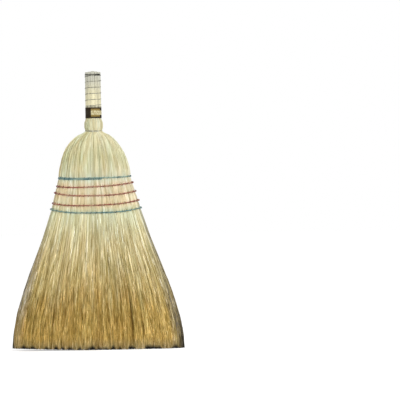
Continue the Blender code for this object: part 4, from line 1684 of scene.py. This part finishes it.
    def make(self) -> None:
        """Makes every brush, named as its solid is."""
        brushes = self.fan.form.brushes
        half = brushes // 2
        for sector in range(brushes):
            if sector in (0, half):
                place = "shoulder_right" if sector == 0 else "shoulder_left"
            elif sector < half:
                place = f"back_{sector}"
            else:
                place = f"front_{sector - half}"
            self.cover(sector, f"fibre_{place}", f"brush_{place}")
        for group in range(half):
            self.core(group, f"fibre_core_{group + 1}", f"brush_core_{group + 1}")


# Sewing


@dataclass(frozen=True)
class Sewing:
    """Five rows of twine wound round the fan, and the stitches that hold them."""

    fan: Fan
    finishes: dict[Slot, bpy.types.Material]
    twine_radius: float = 0.00108
    twine_sides: int = 12
    twine_waist: float = 0.74
    twine_proud: float = 0.0003
    # Painted shade: the twine's darkest tone in the hollows between its plies, and its gain on the
    # plies' crowns.
    ply_shade_tones: Pair = (0.55, 0.5)
    stitch_radius: float = 0.00060
    stitch_sides: int = 8
    stitch_rings: int = 9
    stitch_proud: float = 0.0002
    stitch_jitter: float = 0.12
    stitch_slants: Pair = (0.0012, 0.0020)
    stitch_tones: Pair = (0.55, 0.85)
    sink: float = 0.0010
    end_run: float = 0.008
    turn_gap: float = 0.0005
    pitch: float = 0.0052
    step: float = 0.0009
    stitch_step: float = 0.0105
    single_reach: float = 0.0020
    double_reach: float = 0.0033
    end_depth: float = 0.0012
    seed: int = 5

    def lay_height(self, row: SewingRow, turn: Array) -> Array:
        """How far above the groove's middle the twine lies, where its ends lap."""
        lap = row.turns - 1
        single = rise(turn, lap, 1 - lap)
        return (self.twine_radius + self.turn_gap / 2) * (1 - 2 * single) ** 3

    def around(self, row: SewingRow) -> float:
        """Length once round the fan at a row."""
        return float(self.fan.around(np.array(self.fan.form.neck - row.drop)))

    def path(self, row: SewingRow, turn: Array, proud: Array) -> tuple[Array, Array]:
        """Follows a row's twine.

        Args:
            row: The row.
            turn: How far round it is, from the twine's start.
            proud: How far out of the groove it is there.

        Returns:
            Points of it, and the directions square to the fan there.
        """
        shares = row.start + turn
        level = np.full(turn.shape, self.fan.form.neck - row.drop)
        points = self.fan.skin(level, shares)
        outs = self.fan.outward(level, shares)
        points = points + outs * (proud - self.fan.bite(row, points[:, 0]) - self.sink)[:, None]
        points[:, 2] = self.fan.row_height(row, points[:, 0]) + self.lay_height(row, turn)
        return points, outs

    def wrap(self, row: SewingRow) -> bpy.types.Object:
        """Winds the two-ply twine once and a bit round the fan.

        Args:
            row: The row of sewing.

        Returns:
            The piece.
        """
        around = self.around(row)
        rings = round(around * row.turns / self.step)
        turn = np.linspace(0, row.turns, rings)
        ends = clamp(np.minimum(turn, row.turns - turn) / self.end_run)
        proud = mix(-self.end_depth, self.twine_radius + self.twine_proud, ends)
        points, outs = self.path(row, turn, proud)
        stock = tube_stock(self.twine_sides, rings)
        twist = turn[stock.ring] * around / self.pitch * TURN
        ply = np.abs(np.cos(stock.angle - twist / 2))
        radii = np.full((1, rings), self.twine_radius)
        shape = self.twine_waist + (1 - self.twine_waist) * ply
        corners = stock.lay(points[None], outs[None], radii, shape)
        # Painted shade in the hollows between the plies.
        darkest, gain = self.ply_shade_tones
        tone = (darkest + gain * ply)[None]
        return single_piece(row.node + "_wrap", stock, corners, {"tone": tone})

    def stitches(self, row: SewingRow) -> bpy.types.Object:
        """Makes short slanting stitches over the twine, each out of the fibre and back into it.

        Args:
            row: The row of sewing.

        Returns:
            The piece with all its stitches.
        """
        chance = np.random.default_rng(self.seed + round(row.drop * 1e4))
        around, rings = self.around(row), self.stitch_rings
        count = round(around / self.stitch_step)
        jitter = chance.uniform(-self.stitch_jitter, self.stitch_jitter, count)
        turn = (np.arange(count) + jitter) / count
        part = np.linspace(-1, 1, rings)
        arch = np.sqrt(np.maximum(1 - part**2, 0.0))
        single = turn > row.turns - 1
        lift = np.where(single, self.single_reach, self.double_reach)[:, None]
        top = 2 * self.twine_radius + self.stitch_radius + self.stitch_proud
        out = mix(-self.end_depth, top, arch)[None]
        slant = chance.uniform(*self.stitch_slants, count)[:, None] * part[None] / around
        turns = turn[:, None] + slant
        points, outs = self.path(row, turns.ravel(), np.broadcast_to(out, turns.shape).ravel())
        points = points.reshape(count, rings, 3)
        middle = points[:, rings // 2]
        centre = np.where(single, middle[:, 2], self.fan.row_height(row, middle[:, 0]))
        points[..., 2] = centre[:, None] + lift * part[None]
        stock = tube_stock(self.stitch_sides, rings)
        radii = np.full((count, rings), self.stitch_radius)
        corners = stock.lay(points, outs.reshape(count, rings, 3), radii)
        tone = chance.uniform(*self.stitch_tones, (count, 1))
        return single_piece(row.node + "_stitches", stock, corners, {"tone": tone})

    def make(self) -> None:
        """Winds and stitches each row."""
        for row in ROWS:
            finish = self.finishes[row.slot]
            install(self.wrap(row), finish, row.slot, row.node)
            install(self.stitches(row), finish, row.slot)


# Grip, wires and label


@dataclass(frozen=True)
class Grip:
    """Nineteen stalks in a bundle: one in the middle, six round it, and twelve outside."""

    finish: bpy.types.Material
    radius: float = 0.003230
    inner_ring: float = 0.00675
    outer_ring: float = 0.01304
    top: float = 0.580
    end_step: float = 0.0012
    inner_foot: float = 0.4473
    outer_foot: float = 0.493
    sides: int = 32
    rings: int = 30
    inner_count: int = 6
    outer_count: int = 12
    corner_power: float = 14.0
    press_gap: float = 0.97
    rim_height: float = 0.0012
    rim_drops: tuple[float, ...] = (0.0008, 0.0004, 0.0001, 0.0, 0.0001, 0.0006)
    rim_widths: tuple[float, ...] = (0.985, 0.95, 0.88, 0.80, 0.66, 0.50)
    cut_rings: int = 3
    waves: Pair = (0.05, 0.09)
    swell: float = 0.01
    bow: float = 0.00008
    bow_length: float = 0.11
    ridges: tuple[tuple[float, int], ...] = ((0.012, 7), (0.008, 11))
    tones: Pair = (0.9, 1.08)
    hollow_shade_gain: float = 12.0
    hollow_shade_most: float = 0.3
    seed: int = 3

    def stalk(self, name: str, node: str, centre: Array, foot: float, top: float, key: int) -> None:
        """Makes one stalk, slightly uneven, with ridges, a rounded rim and a pithy cut.

        Args:
            name: The piece's name.
            node: The solid that it replaces.
            centre: Its middle, as x and y.
            foot: Height of its lower end.
            top: Height of its cut.
            key: Seed of its own unevenness.
        """
        chance = np.random.default_rng(self.seed + key)
        stock = tube_stock(self.sides, self.rings)
        body = np.linspace(foot, top - self.rim_height, self.rings - len(self.rim_drops))
        heights = np.concatenate([body, top - np.array(self.rim_drops)])
        widths = np.concatenate([np.ones(len(body)), self.rim_widths])
        wave = TURN * heights / chance.uniform(*self.waves) + chance.uniform(0, TURN)
        swell = 1 - self.swell * (1 + np.sin(wave))
        bow = self.bow * np.sin(TURN * heights / self.bow_length + chance.uniform(0, TURN))
        paths = np.stack([centre[0] + bow, centre[1] + bow, heights], 1)
        facing = math.atan2(centre[1], centre[0])
        outs = np.broadcast_to(np.array([math.cos(facing), math.sin(facing), 0.0]), paths.shape)
        ridges = np.zeros(len(stock.angle))
        for (height, number), phase in zip(self.ridges, chance.uniform(0, TURN, len(self.ridges))):
            ridges += height * np.sin(number * stock.angle + phase)
        pressed = self.pressed(stock.angle) if centre.any() else 1.0
        corners = self.upright(stock, paths, outs, self.radius * widths * swell, pressed + ridges)
        cut = (stock.ring >= self.rings - self.cut_rings).astype(float)
        marks = {
            "tone": np.full((1, 1), chance.uniform(*self.tones)),
            # Painted shade: how much the hollows between the ridges are darkened.
            "groove": np.clip(-ridges * self.hollow_shade_gain, 0, self.hollow_shade_most)[None] * (1 - cut),
            "cut": cut[None],
        }
        install(single_piece(name, stock, corners, marks), self.finish, Slot.STALK, node)

    def pressed(self, angle: Array) -> Array:
        """Share of the radius all round a stalk, which the wire has pressed against its neighbours.

        Outwards it follows the bundle's round, and sideways it ends just short of the plane
        between it and the next stalk. Inwards it is nearly square.

        Args:
            angle: Angles from the stalk's outward side.

        Returns:
            The share at each angle.
        """
        out, aside = np.cos(angle), np.abs(np.sin(angle))
        lean = math.tan(math.pi / self.outer_count)
        plane = self.press_gap * self.outer_ring * lean / np.maximum(aside - out * lean, 0.05)
        round_radius = self.outer_ring + self.radius
        bundle = np.sqrt(round_radius**2 - (self.outer_ring * aside) ** 2) - self.outer_ring * out
        square = self.radius * (np.abs(out) ** 4 + aside**4) ** -0.25
        limit = np.where(out > 0, bundle, square)
        soft = self.corner_power
        return (plane**-soft + limit**-soft) ** (-1 / soft) / self.radius

    @staticmethod
    def upright(stock: TubeStock, paths: Array, outs: Array, radii: Array, shape: Array) -> Array:
        """Lays stock on an upright axis, so that rings may also step back down, as in a cut.

        Args:
            stock: The stock.
            paths: Middle of each ring.
            outs: Direction that angle 0 faces, the same at each ring.
            radii: Radius of each ring.
            shape: Factor on the radius of each corner.

        Returns:
            Corners, as 1 x corners x 3.
        """
        side = np.array([-outs[0, 1], outs[0, 0], 0.0])
        reach = (radii[stock.ring] * shape)[:, None]
        turned = np.cos(stock.angle)[:, None] * outs[stock.ring] + np.sin(stock.angle)[:, None] * side
        return (paths[stock.ring] + reach * turned)[None]

    def make(self) -> None:
        """Makes the bundle."""
        self.stalk("stalk_middle", "stalk_centre", np.zeros(2), self.inner_foot, self.top, 0)
        inner = ("inside_stalk_{}", "stalk_inner_{}", self.inner_count, 0.25)
        outer = ("outside_stalk_{:02d}", "stalk_outer_{:02d}", self.outer_count, 0.0)
        key = 0
        for (name, node, count, start), radius, foot, steps in (
            (inner, self.inner_ring, self.inner_foot, 1),
            (outer, self.outer_ring, self.outer_foot, 2),
        ):
            for i in range(count):
                key += 1
                angle = TURN * (i + start) / count
                centre = radius * np.array([math.cos(angle), math.sin(angle)])
                top = self.top - steps * self.end_step
                self.stalk(name.format(i + 1), node.format(i + 1), centre, foot, top, key)


@dataclass(frozen=True)
class Wires:
    """The wire wound down the grip and the wire drawn tight round the neck."""

    finish: bpy.types.Material
    radius: float = 0.00066
    dark_thickening: float = 0.00030
    step: float = 0.0019
    seat: float = 0.0003
    grip_radius: float = 0.0163
    grip_top: float = 0.5732
    grip_foot: float = 0.5053
    grip_turns: int = 5
    end_turns: float = 1.25
    lean: float = 0.0016
    neck_radius: float = 0.0176
    neck_height: float = 0.455
    neck_turns: int = 2
    stalks: int = 12
    sides: int = 10
    grip_rings: int = 360
    neck_rings: int = 120
    dip: float = 0.00022
    tuck: float = 0.0022
    tuck_run: float = 0.05
    lit_middle_reach: float = 0.0032
    open_run: float = 0.3
    # Painted shading of the close turns, from their sides to their front and back.
    close_tones: Pair = (0.05, 0.60)
    open_tone: float = 0.80
    neck_tone: float = 0.75
    # Painted light on the neck wire's right and front sides.
    neck_light_gains: Pair = (0.15, 0.5)

    def wind(self, name: str, node: str, points: Array, tone: Array) -> None:
        """Makes a wire along points.

        Args:
            name: The piece's name.
            node: The solid that it replaces.
            points: Its path.
            tone: How bright it is at each point, painted light and shade included. Where it is dark,
                it is drawn thicker.
        """
        stock = tube_stock(self.sides, len(points))
        outs = points * np.array([1.0, 1.0, 0.0])
        # The wire is drawn thicker where its tone is darker.
        radii = self.radius + self.dark_thickening * clamp(1 - tone)
        corners = stock.lay(points[None], unit(outs)[None], radii[None])
        marks = {"tone": tone[stock.ring][None]}
        install(single_piece(name, stock, corners, marks), self.finish, Slot.WIRE, node)

    def tucked(self, turn: Array, turns: float) -> Array:
        """How far the wire is bent inwards near its two ends."""
        return self.tuck * fall(np.minimum(turn, turns - turn), self.tuck_run) ** 2

    @staticmethod
    def spiral(reach: Array, angle: Array, height: Array) -> Array:
        """Points at these distances from the broom's axis, these angles and these heights."""
        return np.stack([reach * np.cos(angle), reach * np.sin(angle), height], 1)

    def grip_height(self, turn: Array) -> Array:
        """Height after each turn: close turns, open turns, close turns."""
        open_step = (self.grip_top - self.grip_foot - 2 * self.end_turns * self.step) / self.grip_turns
        opened = np.clip(turn - self.end_turns, 0, self.grip_turns)
        return self.grip_top - self.step * (turn - opened) - open_step * opened

    def wind_grip(self) -> None:
        """Winds the grip's wire: dark close turns with painted shading, lighter in front and behind
        than at the sides, and open turns.
        """
        turns = self.grip_turns + 2 * self.end_turns
        turn = np.linspace(0, turns, self.grip_rings)
        angle = -TURN * turn
        inside = clamp(np.minimum(turn - self.end_turns, turns - self.end_turns - turn))
        height = self.grip_height(turn) - self.lean * np.cos(angle) * inside
        dip = self.dip * (1 - np.cos(self.stalks * angle)) / 2
        reach = self.grip_radius + self.seat - dip - self.tucked(turn, turns)
        points = self.spiral(reach, angle, height)
        # Painted shading: the close turns are darkest at the grip's sides and lighter in front and
        # behind.
        close_tone = mix(*self.close_tones, bell(points[:, 0], 0.0, self.lit_middle_reach))
        opened = rise(turn, self.end_turns, self.open_run)
        self.wind("wire_on_grip", "grip_wire", points, mix(close_tone, self.open_tone, opened))

    def wind_neck(self) -> None:
        """Winds the neck's wire, with painted light at the right and in front, where the key lamp
        falls.
        """
        turn = np.linspace(0, self.neck_turns, self.neck_rings)
        angle = TURN * turn
        reach = self.neck_radius - self.seat - self.tucked(turn, self.neck_turns)
        height = self.neck_height + self.step * (self.neck_turns / 2 - turn)
        # Painted light: brighter on the sides facing the key lamp.
        right, front = self.neck_light_gains
        tone = self.neck_tone + right * np.cos(angle) + front * clamp(-np.sin(angle)) ** 2
        self.wind("wire_on_neck", "neck_wire", self.spiral(reach, angle, height), tone)

    def make(self) -> None:
        """Winds both wires."""
        self.wind_grip()
        self.wind_neck()


@dataclass(frozen=True)
class Label:
    """The paper band at the foot of the grip, one end glued over the other at the back."""

    finish: bpy.types.Material
    radius: float = 0.0165
    foot: float = 0.482
    height: float = 0.022
    thickness: float = 0.0004
    gap: float = 0.0003
    lap: float = 0.07
    steps: int = 96
    rows: int = 8
    start: float = 0.25
    stalks: int = 12
    crease: float = 0.00012
    curl: float = 0.0002
    smooth_angle: float = math.radians(40)

    def bent(self, x: float, y: float) -> Triple:
        """Bends one point of the flat strip.

        Args:
            x: Its place along the strip, from -1 to 1.
            y: Its place across the strip, from -1 to 1.

        Returns:
            Where it is on the bent strip.
        """
        turn = (1 + self.lap) * (x + 1) / 2
        up = (y + 1) / 2
        over = ease(clamp((turn - 1 + self.lap) / self.lap))
        angle = TURN * (self.start + turn)
        crease = self.crease * (1 - math.cos(self.stalks * angle)) / 2
        curl = self.curl * abs(2 * up - 1) ** 6
        reach = self.radius + self.thickness + over * (self.thickness + self.gap) - crease + curl
        return reach * math.cos(angle), reach * math.sin(angle), self.foot + up * self.height

    def make(self) -> None:
        """Bends a flat strip round the grip, creases it over the stalks and gives it thickness."""
        deselect_all()
        bpy.ops.mesh.primitive_grid_add(
            x_subdivisions=self.steps, y_subdivisions=self.rows, size=2.0, location=(0, 0, 0)
        )
        strip = bpy.context.object
        strip.name = "paper_label"
        for corner in strip.data.vertices:
            corner.co = self.bent(corner.co.x, corner.co.y)
        solid = strip.modifiers.new("thickness", "SOLIDIFY")
        solid.thickness = self.thickness
        solid.offset = -1.0
        bpy.ops.object.modifier_apply(modifier=solid.name)
        bpy.ops.object.shade_smooth_by_angle(angle=self.smooth_angle)
        install(strip, self.finish, Slot.LABEL, "label_band")


# Studio


@dataclass(frozen=True)
class Lamp:
    """A square soft light that faces the broom.

    Attributes:
        name: Its name.
        place: Where it is.
        size: Length of its side.
        power: Its power in watts.
    """

    name: str
    place: Triple
    size: float
    power: float


@dataclass(frozen=True)
class Studio:
    """White surroundings, soft light and the photograph's camera."""

    focus: Triple = (0.0, 0.0, 0.290)
    frame_pixels: float = 400.0
    metres_per_pixel: float = 0.002083
    focus_pixel: Pair = (95.3, 210.3)
    roll: float = math.radians(1.1)
    distance: float = 6.0
    sight: float = 60.0
    sensor: float = 36.0
    sky: float = 0.58
    floor_size: float = 40.0
    lamps: tuple[Lamp, ...] = (
        Lamp("key", (1.3, -2.2, 1.9), 1.6, 46.0),
        Lamp("fill", (-1.8, -1.6, 0.9), 1.8, 10.0),
    )

    def camera(self) -> None:
        """Stands level with the broom's middle, far away, and leans as the photograph does."""
        right = Vector((math.cos(self.roll), 0.0, -math.sin(self.roll)))
        up = Vector((math.sin(self.roll), 0.0, math.cos(self.roll)))
        back = right.cross(up)
        aside = (self.frame_pixels / 2 - self.focus_pixel[0]) * self.metres_per_pixel
        above = (self.focus_pixel[1] - self.frame_pixels / 2) * self.metres_per_pixel
        place = Vector(self.focus) + right * aside + up * above + back * self.distance
        bpy.ops.object.camera_add(location=place)
        camera = bpy.context.object
        turned = camera.matrix_world.copy()
        for row in range(3):
            for column, axis in enumerate((right, up, back)):
                turned[row][column] = axis[row]
        camera.matrix_world = turned
        camera.location = place
        camera.data.sensor_width = self.sensor
        width = self.frame_pixels * self.metres_per_pixel
        camera.data.lens = self.sensor * self.distance / width
        camera.data.clip_end = self.sight
        bpy.context.scene.camera = camera

    def floor(self) -> None:
        """A wide floor under the tips."""
        deselect_all()
        bpy.ops.mesh.primitive_plane_add(size=self.floor_size, location=(0, 0, 0))
        floor = bpy.context.object
        floor.name = "studio_floor"
        floor.data.materials.append(FLOOR.material())

    def hang(self, lamp: Lamp) -> None:
        """Puts a lamp in its place and turns it to the broom."""
        data = bpy.data.lights.new(lamp.name, "AREA")
        data.size = lamp.size
        data.energy = lamp.power
        light = bpy.data.objects.new(lamp.name, data)
        light.location = lamp.place
        way = Vector(self.focus) - Vector(lamp.place)
        light.rotation_euler = way.to_track_quat("-Z", "Y").to_euler()
        bpy.context.scene.collection.objects.link(light)

    def world(self) -> None:
        """White to the camera and in reflections, softer as a light."""
        world = bpy.data.worlds.new("studio")
        bpy.context.scene.world = world
        world.use_nodes = True
        graph = Graph(world.node_tree)
        sky = world.node_tree.nodes["Background"]
        sky.inputs["Color"].default_value = (1.0, 1.0, 1.0, 1.0)
        seen = graph.seen("Is Camera Ray", "Is Glossy Ray", "Is Transmission Ray")
        strength = graph.maths("ADD", graph.times(seen, 1 - self.sky), self.sky)
        graph.feed(sky.inputs["Strength"], strength)

    def make(self) -> None:
        """Sets the studio up."""
        self.floor()
        for lamp in self.lamps:
            self.hang(lamp)
        self.world()
        self.camera()
        bpy.context.scene.view_settings.view_transform = "Standard"


def main() -> None:
    """Builds every piece in order, then the studio."""
    logging.basicConfig(level=logging.INFO, format="%(name)s: %(message)s")
    fan = Fan(FanForm())
    straw = STRAW.material()
    wire = WIRE.material()
    BrushMaker(fan, StrawMarks(fan), straw).make()
    Sewing(fan, {Slot.BLUE: BLUE_TWINE.material(), Slot.RED: RED_TWINE.material()}).make()
    Grip(STALKS.material()).make()
    Wires(wire).make()
    Label(LABEL.material()).make()
    Studio().make()


if __name__ == "__main__":
    main()
